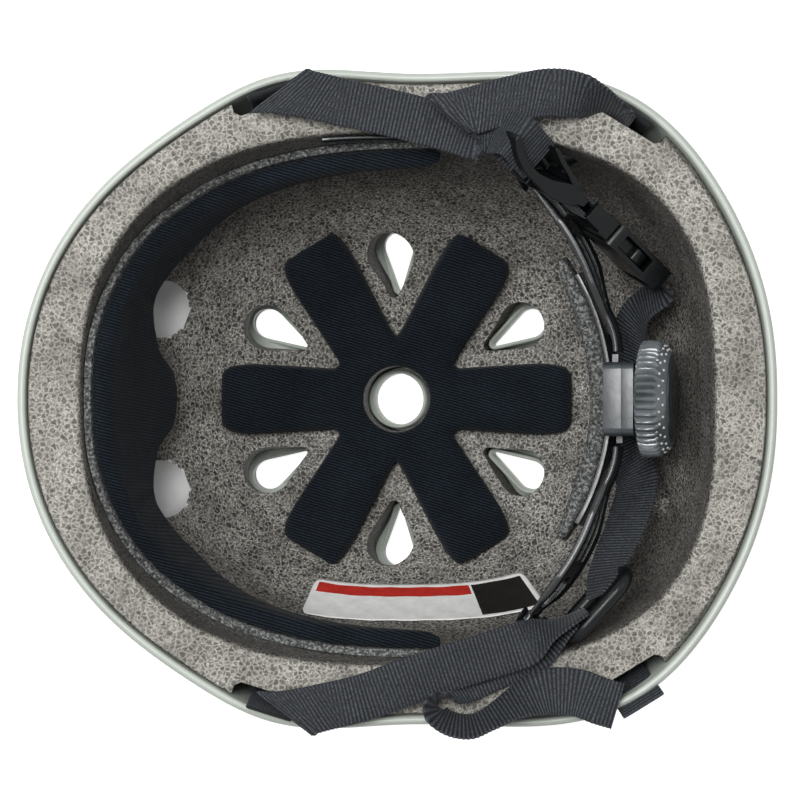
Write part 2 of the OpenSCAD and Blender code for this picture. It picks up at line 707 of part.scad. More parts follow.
// Dial
hub_l = 7;
cap_t = 1.2;
screw_head_t = 1.5;
module dial_knob() {
    r = dial_d / 2;
    grip_r = r - 0.9;
    color(smoke_grey) dial_frame() difference() {
        union() {
            rotate_extrude() polygon([[0, 0], [grip_r - 1.4, 0], [grip_r, 1.6], [grip_r, dial_t - 2.2],
                                      [grip_r - 2.2, dial_t], [0, dial_t]]);
            translate([0, 0, 2]) linear_extrude(dial_t - 4.6) polygon(
                [for (k = [0:2 * dial_ridges - 1])
                    let (a = k * 180 / dial_ridges, q = k % 2 == 0 ? r : grip_r - 0.1)
                    [q * cos(a), q * sin(a)]]);
        }
        translate([0, 0, -1]) difference() {
            cylinder(h = hub_l, r = grip_r - 2.4);
            cylinder(h = 20, r = 5, center = true);
        }
        translate([-2.1, -2.1, -1]) cube([4.2, 4.2, hub_l + 1]);
        translate([0, 0, hub_l - 1]) cylinder(h = 20, r = 1.4);
        translate([0, 0, dial_t - cap_t - screw_head_t - 0.4]) cylinder(h = 20, r = 3.3);
        translate([0, 0, dial_t - cap_t]) cylinder(h = 20, r = dial_cap_d / 2 + 0.1);
    }
}
module dial_cap() {
    color(smoke_grey) dial_frame() translate([0, 0, dial_t - cap_t + 0.05]) rotate_extrude()
        polygon([[0, 0], [dial_cap_d / 2, 0], [dial_cap_d / 2, cap_t - 0.2],
                 [dial_cap_d / 2 - 0.6, cap_t + 0.3], [0, cap_t + 0.5]]);
}
module dial_screw() {
    seat = dial_t - cap_t - screw_head_t - 0.35;
    color(steel) dial_frame() union() {
        translate([0, 0, seat]) cylinder(h = screw_head_t, r = 3);
        translate([0, 0, hub_l - 5.5]) cylinder(h = seat - hub_l + 6, r = 1.05);
    }
}

// Nape band and pad: conical strips that lie against the housing's front
nape_drop = housing_h / 2 + 4;
nape_off = housing_far - 0.1 - nape_t / 2;
nape_x = dial_x + nape_off * cos(cradle_lean) + nape_drop * sin(cradle_lean);
nape_z = dial_z + nape_off * sin(cradle_lean) - nape_drop * cos(cradle_lean);
module nape_band() {
    color(moulded_black) difference() {
        translate([nape_x - nape_r, 0, nape_z]) rotate([0, 0, -nape_span])
            rotate_extrude(angle = 2 * nape_span)
                translate([nape_r, 0]) rotate(cradle_lean) square([nape_t, nape_h], center = true);
        dial_frame() for (s = [-1, 1]) translate([boss_drop, s * boss_y, housing_far - 6])
            cylinder(h = 12, r = boss_r + 0.1);
    }
}
function nape_point(a, g, h) =
    let (in = nape_t / 2 + 0.2 + g,
         r = nape_r - in * cos(cradle_lean) - h * sin(cradle_lean))
    [nape_x - nape_r + r * cos(a), r * sin(a), nape_z + h * cos(cradle_lean) - in * sin(cradle_lean)];
module nape_pad() {
    half = nape_h / 2 - 0.7;
    color(pad_foam) skinned([for (k = [0:28])
        let (a = (nape_span - 1) * (k / 14 - 1), thin = 1 - 0.4 * pow(abs(k / 14 - 1), 6))
        [for (p = [[0, 1], [0, 0.33], [0, -0.33], [0, -1], [0.7, -1], [0.95, -0.8], [1, -0.3], [1, 0.3],
                   [0.95, 0.8], [0.7, 1]])
            nape_point(a, p[0] * nape_pad_t * thin, p[1] * half)]]);
}

// Arms, drawn on the left
module arm_plate_frame() {
    translate([hinge_x - arm_bend_r, hinge_y, hinge_z]) rotate([0, 0, arm_bend_a])
        translate([arm_bend_r, 0, 0]) rotate([0, -cradle_lean, 0]) children();
}
module arm_slot(from, to, h) {
    for (x = [from + h / 2, to - h / 2]) translate([x, 0]) circle(d = h);
    translate([from + h / 2, -h / 2]) square([to - from - h, h]);
}
arm_play = 0.95;
pin_slide = 0.8;
module arm_outline() {
    difference() {
        union() {
            polygon([[-0.1, -neck_h / 2], [12, -arm_h / 2], [arm_straight - 20, -arm_h / 2],
                     [arm_straight - 2, -6], [arm_straight - 2, 6], [arm_straight - 20, arm_h / 2],
                     [12, arm_h / 2], [-0.1, neck_h / 2]]);
            translate([arm_straight, 0]) circle(r = 6.3);
        }
        arm_slot(8, 26, 3);
        arm_slot(arm_straight - 21.5, arm_straight - 5.4, 7);
        pin_hole_r = anchor_pin_r + 0.35;
        arm_slot(arm_straight - pin_slide - pin_hole_r, arm_straight + pin_slide + pin_hole_r,
                 2 * pin_hole_r);
    }
}
module arm() {
    start = asin(hinge_gap / arm_bend_r);
    difference() {
        translate([hinge_x - arm_bend_r, hinge_y, hinge_z]) rotate([0, 0, start])
            rotate_extrude(angle = arm_bend_a - start)
                translate([arm_bend_r, 0]) rotate(cradle_lean)
                    square([strip_t, neck_h], center = true);
        translate([hinge_x, hinge_y + hinge_gap, hinge_z - neck_h]) rotate([0, 0, hinge_relief])
            translate([0, -3, 0]) cube([6, 3, 2 * neck_h]);
    }
    arm_plate_frame() {
        rotate([90, 0, 90]) translate([0, 0, -strip_t / 2]) linear_extrude(strip_t) arm_outline();
        for (s = [-1, 1]) translate([-strip_t / 2 - 0.7, 12, s * (arm_h / 2 - 1.5) - 0.5])
            cube([1, arm_straight - 36, 1]);
    }
}
module arm_left() {
    color(moulded_black) arm();
}
module arm_right() {
    color(moulded_black) mirror([0, 1, 0]) arm();
}

// Posts in the liner that carry the arms, and the studs that hold the arms on them
anchor_r = 4.5;
anchor_nose_r = 3.3;
anchor_depth = 19;
module stud_frame() {
    arm_plate_frame() translate([strip_t / 2 + arm_play, arm_straight, 0]) rotate([0, 90, 0]) children();
}
module arm_anchor_at(s) {
    if (s < 0) mirror([0, 1, 0]) stud_frame() children();
    else stud_frame() children();
}
module arm_anchors() {
    color(moulded_black) for (s = [-1, 1]) arm_anchor_at(s) difference() {
        union() {
            cylinder(h = anchor_depth, r = anchor_nose_r);
            translate([0, 0, 2]) cylinder(h = anchor_depth - 2, r = anchor_r);
        }
        translate([0, 0, -1]) cylinder(h = 11, r = anchor_pin_r + pin_gap);
    }
}
module arm_pins() {
    head_z = -strip_t - 2 * arm_play;
    color(moulded_black) for (s = [-1, 1]) arm_anchor_at(s) union() {
        translate([0, 0, head_z - 1.6]) cylinder(h = 1.6, r1 = 4.4, r2 = 3.3);
        translate([0, 0, head_z - 1]) cylinder(h = 10 - head_z, r = anchor_pin_r);
    }
}

// Buckle frame: +X is the way the plug slides out, +Y across its width, +Z its thickness
buckle_at = lifted([94.3, 45.3, 118]);
buckle_turn = 139;
buckle_rise = 28.5;
module buckle_frame() {
    translate(buckle_at) rotate([0, 0, buckle_turn]) rotate([0, -buckle_rise, 0]) rotate([90, 0, 0])
        children();
}
function on_buckle(p) =
    let (c = cos(buckle_rise), s = sin(buckle_rise), ct = cos(buckle_turn), st = sin(buckle_turn))
    buckle_at + p[0] * [c * ct, c * st, s] + p[1] * [-s * ct, -s * st, c] + p[2] * [st, -ct, 0];
socket_wall = 1.7;
room_w = socket_w - 2 * socket_wall;
room_t = socket_t - 2 * socket_wall;
bar_r = 1.5;
loop_t = 1.3;
plug_x = socket_l + 0.4;
plug_bar_x = plug_x + plug_base_l - 2.5;
divider_bar_x = plug_bar_x + 7.8;
prong_gap = 0.35;
module plate(x0, x1, w, t) translate([x0, -w / 2, -t / 2]) cube([x1 - x0, w, t]);
module bar(x, w) translate([x, w / 2, 0]) rotate([90, 0, 0]) cylinder(h = w, r = bar_r);

module buckle_socket() {
    color(moulded_black) buckle_frame() difference() {
        union() {
            translate([0, 0, -socket_t / 2]) linear_extrude(socket_t) difference() {
                translate([socket_l / 2, 0]) rounded(socket_l, socket_w, 3.5);
                translate([2.8, -9.3]) square([3.6, 18.6]);
            }
        }
        plate(10, socket_l + 1, room_w, room_t);
        for (s = [-1, 1]) translate([18.6, s * socket_w / 2, 0]) cube([15, 9, room_t], center = true);
        for (s = [-1, 1]) translate([0, 0, s * (socket_t / 2 + 2)]) rotate([0, s * -13, 0])
            translate([-1, -20, -2]) cube([9, 40, 4]);
    }
}
module buckle_plug() {
    side_w = 2.4;
    color(moulded_black) buckle_frame() {
        difference() {
            plate(plug_x, plug_x + plug_base_l, socket_w - 1, socket_t - 1);
            plate(plug_x + 5.5, plug_x + plug_base_l + 1, socket_w - 1 - 2 * side_w, socket_t);
            for (s = [-1, 1]) translate([plug_x + 4.4, -20, s * (socket_t / 2 + 1.4) - 2.5])
                cube([20, 40, 5]);
        }
        bar(plug_bar_x, socket_w - 1 - side_w);
        plate(plug_x - 16, plug_x + 1, 5, room_t - 2 * prong_gap);
    }
}
// A spring prong of the plug, drawn at +Y
prong_root = plug_x - prong_gap;
module prong() {
    t = room_t - 2 * prong_gap;
    translate([0, 0, -t / 2]) linear_extrude(t) {
        translate([12.5, 6.4]) square([prong_root - 12.5, 2.2]);
        polygon([[12, 6.4], [12, 8.4], [13.4, 10.6], [15.5, 11.3], [17.6, 11.3], [18.6, 10.6],
                 [18.8, 6.4]]);
    }
}
module prong_upper() {
    color(moulded_black) buckle_frame() prong();
}
module prong_lower() {
    color(moulded_black) buckle_frame() mirror([0, 1, 0]) prong();
}
module strap_divider_left() {
    start = divider_bar_x - bar_r;
    end = start + divider_l;
    slot_w = web_w + 1.6;
    color(moulded_black) buckle_frame() {
        bar(divider_bar_x, divider_w - 3);
        translate([0, 0, -divider_t / 2]) linear_extrude(divider_t) difference() {
            polygon([[start, -divider_w / 2 + 1.5], [end - 3, -divider_w / 2], [end, -divider_w / 2 + 2],
                     [end, -4], [end - 3, -2], [end - 3, 2], [end, 4],
                     [end, divider_w / 2 - 2], [end - 3, divider_w / 2], [start, divider_w / 2 - 1.5]]);
            translate([start - 1, -slot_w / 2]) square([7.4, slot_w]);
            translate([start + 9.5, -slot_w / 2]) square([3.6, slot_w]);
            translate([start + 17, -slot_w / 2]) square([3.6, slot_w]);
        }
    }
}
module strap_divider_right() {
    slot_w = web_w + 1.6;
    color(moulded_black) right_divider_frame() translate([0, 0, -divider_t / 2])
        linear_extrude(divider_t) difference() {
            intersection() {
                rounded(36, 24, 9);
                square([40, 23.6], center = true);
            }
            for (x = [-12, 0, 12]) translate([x, 0]) square([3.6, slot_w], center = true);
        }
}
// Right divider frame: +X along its long axis to the rear, +Y up, +Z towards the middle
right_divider_at = lifted([71.5, -73.5, 140]);
right_divider_turn = 48;
module right_divider_frame() {
    translate(right_divider_at) rotate([0, 0, right_divider_turn]) rotate([90, 0, 0])
        mirror([0, 0, 1]) children();
}
module chin_webbing_short() {
    inner = bar_r + 0.2;
    color(strap_grey) buckle_frame() rotate([90, 0, 0]) translate([0, 0, -web_w / 2])
        linear_extrude(web_w) difference() {
            loop_shape(inner + loop_t);
            loop_shape(inner);
        }
}
module loop_shape(r) {
    for (x = [plug_bar_x, divider_bar_x]) translate([x, 0]) circle(r = r);
    translate([plug_bar_x, -r]) square([divider_bar_x - plug_bar_x, 2 * r]);
}

// Straps, from their rivets to the dividers
function strap_start(a) = [
    for (z = [rivet_z - 7, rivet_z, rivet_z + 12, rim_z(a) + 1.5])
        shell_out(a, z, 0) - (strap_in + web_t / 2) * outward(a)];
function rim_way(a) = [-outward(a)[1], outward(a)[0], 0];
module anchored_strap(route, a, widths) {
    difference() {
        strap(concat(strap_start(a), route), concat([for (k = [0:3]) rim_way(a)], widths));
        at_rivets() cylinder(h = 30, r = rivet_shank_r + pin_gap, center = true);
    }
}
// Where a left strap meets the divider's end, one at each half of its width
function divider_end(away, half) =
    on_buckle([divider_bar_x - bar_r + divider_l + 0.5 + away, half * divider_w / 4, 0]);
buckle_up = on_buckle([0, 1, 0]) - buckle_at;
buckle_out = on_buckle([0, 0, 1]) - buckle_at;
module strap_front_left() {
    a = anchor_angles[0];
    rim_route = [[-39, 109, 150.5], [-28, 107, 148.5], [-12, 103, 146.5], [6, 98.5, 146]];
    inner_route = [[22, 95, 146.8], [30, 95, 149.3]];
    color(strap_grey) anchored_strap(concat([for (p = rim_route) over_rim(p)],
        [for (p = inner_route) lifted(p)], [divider_end(8, -1), divider_end(0, -1)]),
        a, [[0.8, 1, 0.3], [0, 1, 0], [0, 1, 0], [0, 1, 0], [0.1, 1, 0], [0.3, 1, 0],
            buckle_out, buckle_out]);
}
module strap_rear_left() {
    a = anchor_angles[1];
    rim_route = [[78, 103, 154], [66, 105, 155], [50, 105.5, 155.5], [34, 105, 155],
        [20, 104.5, 153.5], [15.5, 104, 155.4], [20, 102.5, 157.8]];
    color(strap_grey) anchored_strap(concat([for (p = rim_route) over_rim(p)],
        [lifted([31, 96, 161.5]), divider_end(8, 1), divider_end(0, 1)]),
        a, [[-0.6, 1, 0.1], [0, 1, 0], [0, 1, 0], [0, 1, 0], [0, 1, 0],
            [0, 1, 0], [0, 1, 0], [0.3, 1, 0], buckle_out, buckle_out]);
}
module strap_front_right() {
    a = anchor_angles[2];
    rim_route = [[-39, -109, 150.5], [-28, -107, 148.5], [-10, -102, 147], [11, -97, 147]];
    inner_route = [[32, -91, 148.5], [48, -87, 149], [58, -85.5, 147]];
    color(strap_grey) anchored_strap(
        concat([for (p = rim_route) over_rim(p)], [for (p = inner_route) lifted(p)]),
        a, [[0.8, -1, 0.3], [0.2, -1, 0], [0.2, -1, 0],
            [0.2, -1, 0], [0.2, -1, 0], [0.3, -1, 0], [0.4, -1, 0.2]]);
}
module strap_rear_right() {
    a = anchor_angles[3];
    rim_route = [[78, -103, 154], [66, -105.5, 154.5], [50, -107, 154], [34, -108, 153],
        [24, -108, 152.5], [19.5, -107, 154.3], [24, -104.5, 156.4]];
    inner_route = [[36, -97, 156.5], [48, -90, 154.5], [58, -86, 151]];
    color(strap_grey) anchored_strap(
        concat([for (p = rim_route) over_rim(p)], [for (p = inner_route) lifted(p)]),
        a, [[-0.6, -1, 0.1], [0, -1, 0], [0, -1, 0], [0, -1, 0], [0, -1, 0], [0, -1, 0],
            [0, -1, 0], [-0.2, -1, 0], [-0.4, -1, 0], [-0.2, -1, 0.2]]);
}
module chin_webbing() {
    middle = [0.7, 0, 0.7];
    route = [[90.6, 32, 106], [87.5, 18, 97], [86, 0, 93], [87, -20, 95.5], [89, -38, 107],
        [86, -51, 123], [81, -59, 136], [76.9, -63.2, 140]];
    color(strap_grey) strap(
        concat([on_buckle([-1.5, 0, 0]), on_buckle([-7, 0, -0.5])], [for (p = route) lifted(p)]),
        [buckle_up, buckle_up, [0.5, -0.1, 0.85], middle, middle, middle, [0.5, 0.1, 0.85],
         [0.2, 0.1, 1], [0, 0, 1], [0, 0, 1]]);
}

outer_shell();
liner_crown();
liner_quarter(-1, 1);  // liner_front_left
liner_quarter(-1, -1);  // liner_front_right
liner_quarter(1, 1);  // liner_rear_left
liner_quarter(1, -1);  // liner_rear_right
crown_pad();
crown_pad_hooks();
brow_pad();
brow_pad_foam();
brow_pad_hooks();
front_band_end();
blank_sticker();
strap_front_left();
strap_rear_left();
strap_front_right();
strap_rear_right();
strap_rivets();
strap_divider_left();
strap_divider_right();
chin_webbing();
chin_webbing_short();
buckle_socket();
buckle_plug();
prong_upper();
prong_lower();
arm_left();
arm_right();
rack_left();
rack_right();
arm_anchors();
arm_pins();
nape_band();
nape_pad();
housing_front();
housing_back();
housing_screws();
pinion_shaft();
ratchet_spring();
dial_knob();
dial_cap();
dial_screw();
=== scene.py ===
# %% [markdown]
# # A hard-shell sport helmet, seen into its opening
# The helmet lies on its crown and the camera looks straight down into it. This lesson dresses a
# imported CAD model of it: each piece takes its place from the model and gets the form and the
# surface that the real one has.

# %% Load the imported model
import json
import math

import bmesh
import bpy
import numpy as np
from mathutils import Matrix, Vector


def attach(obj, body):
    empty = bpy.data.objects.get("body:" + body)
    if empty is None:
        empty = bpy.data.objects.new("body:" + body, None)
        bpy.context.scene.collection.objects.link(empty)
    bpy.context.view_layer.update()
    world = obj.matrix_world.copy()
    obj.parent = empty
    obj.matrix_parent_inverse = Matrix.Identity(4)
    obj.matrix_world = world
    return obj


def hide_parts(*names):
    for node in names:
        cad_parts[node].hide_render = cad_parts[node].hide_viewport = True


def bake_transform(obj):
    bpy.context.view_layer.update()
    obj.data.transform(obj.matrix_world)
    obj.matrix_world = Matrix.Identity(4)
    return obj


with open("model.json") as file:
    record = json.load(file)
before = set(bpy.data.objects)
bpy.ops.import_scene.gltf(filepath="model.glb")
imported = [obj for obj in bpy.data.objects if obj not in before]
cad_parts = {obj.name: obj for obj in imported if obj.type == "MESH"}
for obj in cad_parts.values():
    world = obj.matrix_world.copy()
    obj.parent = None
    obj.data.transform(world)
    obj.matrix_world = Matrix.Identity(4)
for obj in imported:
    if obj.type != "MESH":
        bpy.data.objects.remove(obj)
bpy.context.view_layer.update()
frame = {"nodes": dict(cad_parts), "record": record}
print("nodes:", len(frame["nodes"]))

# %% [markdown]
# ## Units, colours and small tools
# The helmet's sizes are known in millimetres and Blender works in metres, so points are worked
# out in millimetres and turned into metres once, where a mesh is made. Colours are written as
# they look on a screen and turned into linear light by one function.

# %% Colours
MM = 0.001


def linear(colour):
    parts = [int(colour[i:i + 2], 16) / 255 for i in (1, 3, 5)]
    light = [p / 12.92 if p <= 0.04045 else ((p + 0.055) / 1.055) ** 2.4 for p in parts]
    return (*light, 1.0)


print("pale grey of the shell in linear light:", [round(c, 3) for c in linear("#c6cdc4")])

# %% [markdown]
# A mesh is a list of points and a list of faces. Most pieces here are a skin over loops of
# points, such as the rings of a bowl or the sections of a strap. The skin joins each loop to the
# next with four-sided faces. It gets a cap at both ends, or it closes on its first loop.

# %% Skins over loops of points
def full_turn(steps):
    return [k * math.tau / steps for k in range(steps)]


def skin_faces(rings, points, closed=False):
    faces = []
    for s in range(rings if closed else rings - 1):
        a, b = s * points, (s + 1) % rings * points
        for i in range(points):
            j = (i + 1) % points
            faces.append((a + i, b + i, b + j, a + j))
    return faces


def capped(loops):
    points = len(loops[0])
    faces = skin_faces(len(loops), points)
    faces.append(tuple(range(points)))
    faces.append(tuple((len(loops) - 1) * points + i for i in reversed(range(points))))
    return [p for loop in loops for p in loop], faces


def closed_round(loops):
    return [p for loop in loops for p in loop], skin_faces(len(loops), len(loops[0]), closed=True)


print("a tube of 4 loops with 10 points each:", len(skin_faces(4, 10)), "faces")

# %% [markdown]
# A form is a bare mesh with its faces turned outward. A piece is a form that is dressed: it gets a material,
# it is shaded smooth up to a sharp angle, and it rides on its body.

# %% Forms and pieces
def new_object(name, data):
    thing = bpy.data.objects.new(name, data)
    bpy.context.scene.collection.objects.link(thing)
    return thing


def object_of(form, name):
    mesh = bpy.data.meshes.new(name)
    form.to_mesh(mesh)
    form.free()
    return new_object(name, mesh)


def form_only(name, points, faces):
    mesh = bpy.data.meshes.new(name)
    mesh.from_pydata([(x * MM, y * MM, z * MM) for x, y, z in points], [], faces)
    mesh.validate()
    form = bmesh.new()
    form.from_mesh(mesh)
    bmesh.ops.recalc_face_normals(form, faces=form.faces)
    form.to_mesh(mesh)
    form.free()
    return new_object(name, mesh)


def shade(piece, sharp):
    piece.data.shade_smooth()
    if sharp < 180:
        piece.data.set_sharp_from_angle(angle=math.radians(sharp))


def dress(piece, material, body, sharp):
    piece.data.materials.append(material)
    shade(piece, sharp)
    if body:
        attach(piece, body)
    return piece


def make_piece(name, points, faces, material, body, slot, sharp=40):
    return dress(form_only(name, points, faces), material, body, sharp)


print("forms and pieces ready")

# %% [markdown]
# Modifiers are applied at once, so that each piece ends as a plain mesh. A form that cuts
# another one is removed after the cut.

# %% Apply modifiers, and cut one form with others
def settle(piece):
    ready = piece.evaluated_get(bpy.context.evaluated_depsgraph_get())
    mesh = bpy.data.meshes.new_from_object(ready)
    piece.modifiers.clear()
    piece.data = mesh


def cut_away(piece, cutters, sharp=40):
    for cutter in cutters:
        tool = piece.modifiers.new("cut", "BOOLEAN")
        tool.operation = "DIFFERENCE"
        tool.solver = "MANIFOLD"
        tool.object = cutter
    settle(piece)
    for cutter in cutters:
        bpy.data.objects.remove(cutter)
    shade(piece, sharp)


print("cutting ready")

# %% [markdown]
# ## Camera
# The picture was taken from straight above, close enough that the floor of the helmet looks
# smaller than its rim. A camera 850 mm above the ground with a long lens gives the same
# narrowing. The lens is shifted by a few pixels, because the helmet sits a little left of the
# middle of the picture.

# %% Camera
PICTURE = 800
EYE_HEIGHT = 850
FOCAL_PIXELS = 1976
SENSOR = 36
SHIFT_PIXELS = (3.5, -1)

camera_data = bpy.data.cameras.new("camera")
camera_data.sensor_width = SENSOR
camera_data.lens = SENSOR * FOCAL_PIXELS / PICTURE
camera_data.shift_x = SHIFT_PIXELS[0] / PICTURE
camera_data.shift_y = SHIFT_PIXELS[1] / PICTURE
camera = new_object("camera", camera_data)
camera.location = (0, 0, EYE_HEIGHT * MM)
bpy.context.scene.camera = camera
print("lens", round(camera_data.lens, 1), "mm at", EYE_HEIGHT, "mm")

# %% [markdown]
# ## Light
# A product picture of this kind is lit by large soft boxes. The main one hangs above the front
# left of the helmet, so the front left of the floor lies in the shade of its own wall. Two small
# ones put the highlights on the rim, the arms and the dial. Places and widths are in metres and
# powers in watts.

# %% Lamps
def soft_box(name, place, aim, width, power):
    data = bpy.data.lights.new(name, "AREA")
    data.shape = "RECTANGLE"
    data.size = width
    data.size_y = width * 0.7
    data.energy = power
    lamp = new_object(name, data)
    lamp.location = place
    lamp.rotation_euler = (Vector(aim) - Vector(place)).to_track_quat("-Z", "Y").to_euler()


soft_box("soft_box_above", place=(-0.20, 0.20, 1.25), aim=(0, 0, 0.08), width=0.55, power=11)
soft_box("soft_box_rear", place=(0.6, 0.3, 0.8), aim=(0, 0, 0.08), width=0.4, power=0.6)
soft_box("soft_box_front", place=(-0.6, 0.15, 0.8), aim=(0.05, 0, 0.1), width=0.18, power=1.4)
bpy.context.scene.view_settings.view_transform = "Standard"
print("three soft boxes")

# %% [markdown]
# ## Nodes
# A material is a small network of nodes. One helper adds a node, sets its settings, fills a
# colour ramp if it has one, and links its inputs. Every kind of node has the same word in front
# of its name, so the helper writes it. Everything else is written out where it is used, so each
# material can be read from top to bottom. Inputs 1 to 4 of a map range are the two ends of what
# it reads and the two ends of what it gives.

# %% The node helper
COLOURS = {"data_type": "RGBA"}
MULTIPLY = {"data_type": "RGBA", "blend_type": "MULTIPLY"}


def add(tree, kind, inputs=None, stops=(), **settings):
    node = tree.nodes.new("ShaderNode" + kind)
    for key, value in settings.items():
        setattr(node, key, value)
    for k, (at, colour) in enumerate(stops):
        if k >= len(node.color_ramp.elements):
            node.color_ramp.elements.new(1.0)
        node.color_ramp.elements[k].position = at
        node.color_ramp.elements[k].color = linear(colour)
    for key, value in (inputs or {}).items():
        if isinstance(value, bpy.types.NodeSocket):
            tree.links.new(value, node.inputs[key])
        else:
            node.inputs[key].default_value = value
    return node


def new_material(name):
    material = bpy.data.materials.new(name)
    material.use_nodes = True
    material.node_tree.nodes.clear()
    return material, material.node_tree


print("node helper ready")

# %% [markdown]
# The ground and the world are white to the camera, to reflections and through clear plastic, as
# in a picture cut out on white, but they light the helmet only gently. The ground mixes a little
# diffuse grey in, so that it still takes the helmet's shadow. It lies 0.6 mm below zero, just
# under the crown.

# %% White ground and world
GROUND_SIZE, GROUND_Z = 6, -0.0006


def seen_directly(tree):
    path = add(tree, "LightPath")
    eye = add(tree, "Math", {0: path.outputs["Is Camera Ray"], 1: path.outputs["Is Glossy Ray"]},
              operation="MAXIMUM")
    return add(tree, "Math", {0: eye.outputs[0], 1: path.outputs["Is Transmission Ray"]},
               operation="MAXIMUM").outputs[0]


world = bpy.data.worlds.new("studio_world")
bpy.context.scene.world = world
world.use_nodes = True
world_tree = world.node_tree
world_tree.nodes.clear()
room = add(world_tree, "Background", {"Color": linear("#ffffff"), "Strength": 0.16})
backdrop = add(world_tree, "Background", {"Color": linear("#ffffff"), "Strength": 1.0})
world_mix = add(world_tree, "MixShader",
                {0: seen_directly(world_tree), 1: room.outputs[0], 2: backdrop.outputs[0]})
add(world_tree, "OutputWorld", {"Surface": world_mix.outputs[0]})

ground_paper, paper_tree = new_material("white_paper_ground")
paper = add(paper_tree, "BsdfDiffuse", {"Color": linear("#d8d8d6")})
glow = add(paper_tree, "Emission", {"Color": linear("#ffffff"), "Strength": 0.92})
shaded_paper = add(paper_tree, "BsdfDiffuse", {"Color": linear("#bcbcbc")})
lit_paper = add(paper_tree, "AddShader", {0: shaded_paper.outputs[0], 1: glow.outputs[0]})
paper_mix = add(paper_tree, "MixShader",
                {0: seen_directly(paper_tree), 1: paper.outputs[0], 2: lit_paper.outputs[0]})
add(paper_tree, "OutputMaterial", {"Surface": paper_mix.outputs[0]})

bpy.ops.mesh.primitive_plane_add(size=GROUND_SIZE, location=(0, 0, GROUND_Z))
ground = bpy.context.object
ground.name = "ground"
ground.data.materials.append(ground_paper)
print("ground laid")

# %% [markdown]
# ## Materials
# Each one starts from what the real thing is made of. The patterns are laid in object space,
# where one unit is a metre, so a pattern that repeats every 1.8 mm has a scale of 1 / 0.0018.

# %% [markdown]
# ### Shell: injection-moulded ABS, lightly glossy
# ABS comes out of a polished mould with a soft gloss and a very faint waviness, which breaks up
# the reflections. The shell is a pale grey with a hint of green.

# %% Moulded ABS
moulded_abs, tree = new_material("moulded_abs_pale")
place = add(tree, "TexCoord").outputs["Object"]
cloudy = add(tree, "TexNoise", {"Vector": place, "Scale": 30.0, "Detail": 3.0})
tone = add(tree, "ValToRGB", {"Fac": cloudy.outputs["Fac"]}, stops=[(0.3, "#bdc4bb"), (0.7, "#c6cdc4")])
peel = add(tree, "TexNoise", {"Vector": place, "Scale": 420.0, "Detail": 2.0})
skin_bump = add(tree, "Bump", {"Height": peel.outputs["Fac"], "Strength": 0.04, "Distance": 0.0004})
surface = add(tree, "BsdfPrincipled", {"Base Color": tone.outputs["Color"], "Roughness": 0.36,
                                       "IOR": 1.53, "Normal": skin_bump.outputs["Normal"]})
add(tree, "OutputMaterial", {"Surface": surface.outputs[0]})
print(moulded_abs.name)

# %% [markdown]
# ### Liner: expanded polystyrene with graphite
# Steam swells beads of polystyrene until they press into each other, so the surface is a
# honeycomb of cells about 1.8 mm across. Inside the helmet the cells look dark, with light
# speckled seams where the beads meet. On the rim they are a lighter grey, with fine pale seams.
# Steep walls are painted darker: painted shade between the beads there. The cells are pushed a little out of
# shape by slow noise. Fine grit breaks up both the seams and the beads, as the tiny pores of the foam do.

# %% Expanded polystyrene: the cells
BEAD = 0.0018
PUSH = 0.0022
RIM_FROM, RIM_FULL = 0.134, 0.140

beads_eps, tree = new_material("expanded_polystyrene_grey")
place = add(tree, "TexCoord").outputs["Object"]
drift = add(tree, "TexNoise", {"Vector": place, "Scale": 420.0, "Detail": 2.0})
pushed = add(tree, "VectorMath", {0: drift.outputs["Color"], 1: (PUSH, PUSH, PUSH), 2: place},
             operation="MULTIPLY_ADD")
bead_cells = {"Vector": pushed.outputs[0], "Scale": 1 / BEAD, "Randomness": 1.0}
seams = add(tree, "TexVoronoi", bead_cells, feature="DISTANCE_TO_EDGE")
cells = add(tree, "TexVoronoi", bead_cells)
bead_value = add(tree, "SeparateColor", {"Color": cells.outputs["Color"]})
grit = add(tree, "TexNoise", {"Vector": place, "Scale": 1300.0, "Detail": 4.0, "Roughness": 0.75})
patches = add(tree, "TexNoise", {"Vector": place, "Scale": 60.0, "Detail": 5.0, "Roughness": 0.6})
print("beads of", BEAD * 1000, "mm")

# %% [markdown]
# The colour of the liner is mixed from the dark cells inside the helmet and the lighter ones on the rim. A
# point is on the rim if it is high up and faces upward. The two patterns differ as the foam's surfaces do.
# The rim's lighter tone against the darker inside is also partly painted light on the upward-facing rim and
# painted shade in the bowl.

# %% Expanded polystyrene: inside the helmet and on the rim
seam_reach = add(tree, "MapRange", {"Value": seams.outputs["Distance"], 1: 0.0, 2: 0.24, 3: 1.0, 4: 0.0})
grit_keep = add(tree, "MapRange", {"Value": grit.outputs["Fac"], 1: 0.36, 2: 0.6, 3: 0.0, 4: 1.0})
light_seam = add(tree, "Math", {0: seam_reach.outputs[0], 1: grit_keep.outputs[0]}, operation="MULTIPLY")
inside_bead = add(tree, "ValToRGB", {"Fac": bead_value.outputs[0]},
                  stops=[(0.0, "#33322f"), (0.5, "#575652"), (1.0, "#85837d")])
inside = add(tree, "Mix", {"Factor": light_seam.outputs[0], "A": inside_bead.outputs["Color"],
                           "B": linear("#e9e6de")}, **COLOURS)
rim_bead = add(tree, "ValToRGB", {"Fac": bead_value.outputs[1]},
               stops=[(0.0, "#6b6963"), (0.45, "#8b8881"), (1.0, "#b0ada5")])
pale_seam = add(tree, "MapRange", {"Value": seams.outputs["Distance"], 1: 0.02, 2: 0.2, 3: 0.9, 4: 0.0})
rim = add(tree, "Mix", {"Factor": pale_seam.outputs[0], "A": rim_bead.outputs["Color"],
                        "B": linear("#e2dfd6")}, **COLOURS)
height = add(tree, "SeparateXYZ", {"Vector": place})
facing = add(tree, "SeparateXYZ", {"Vector": add(tree, "NewGeometry").outputs["True Normal"]})
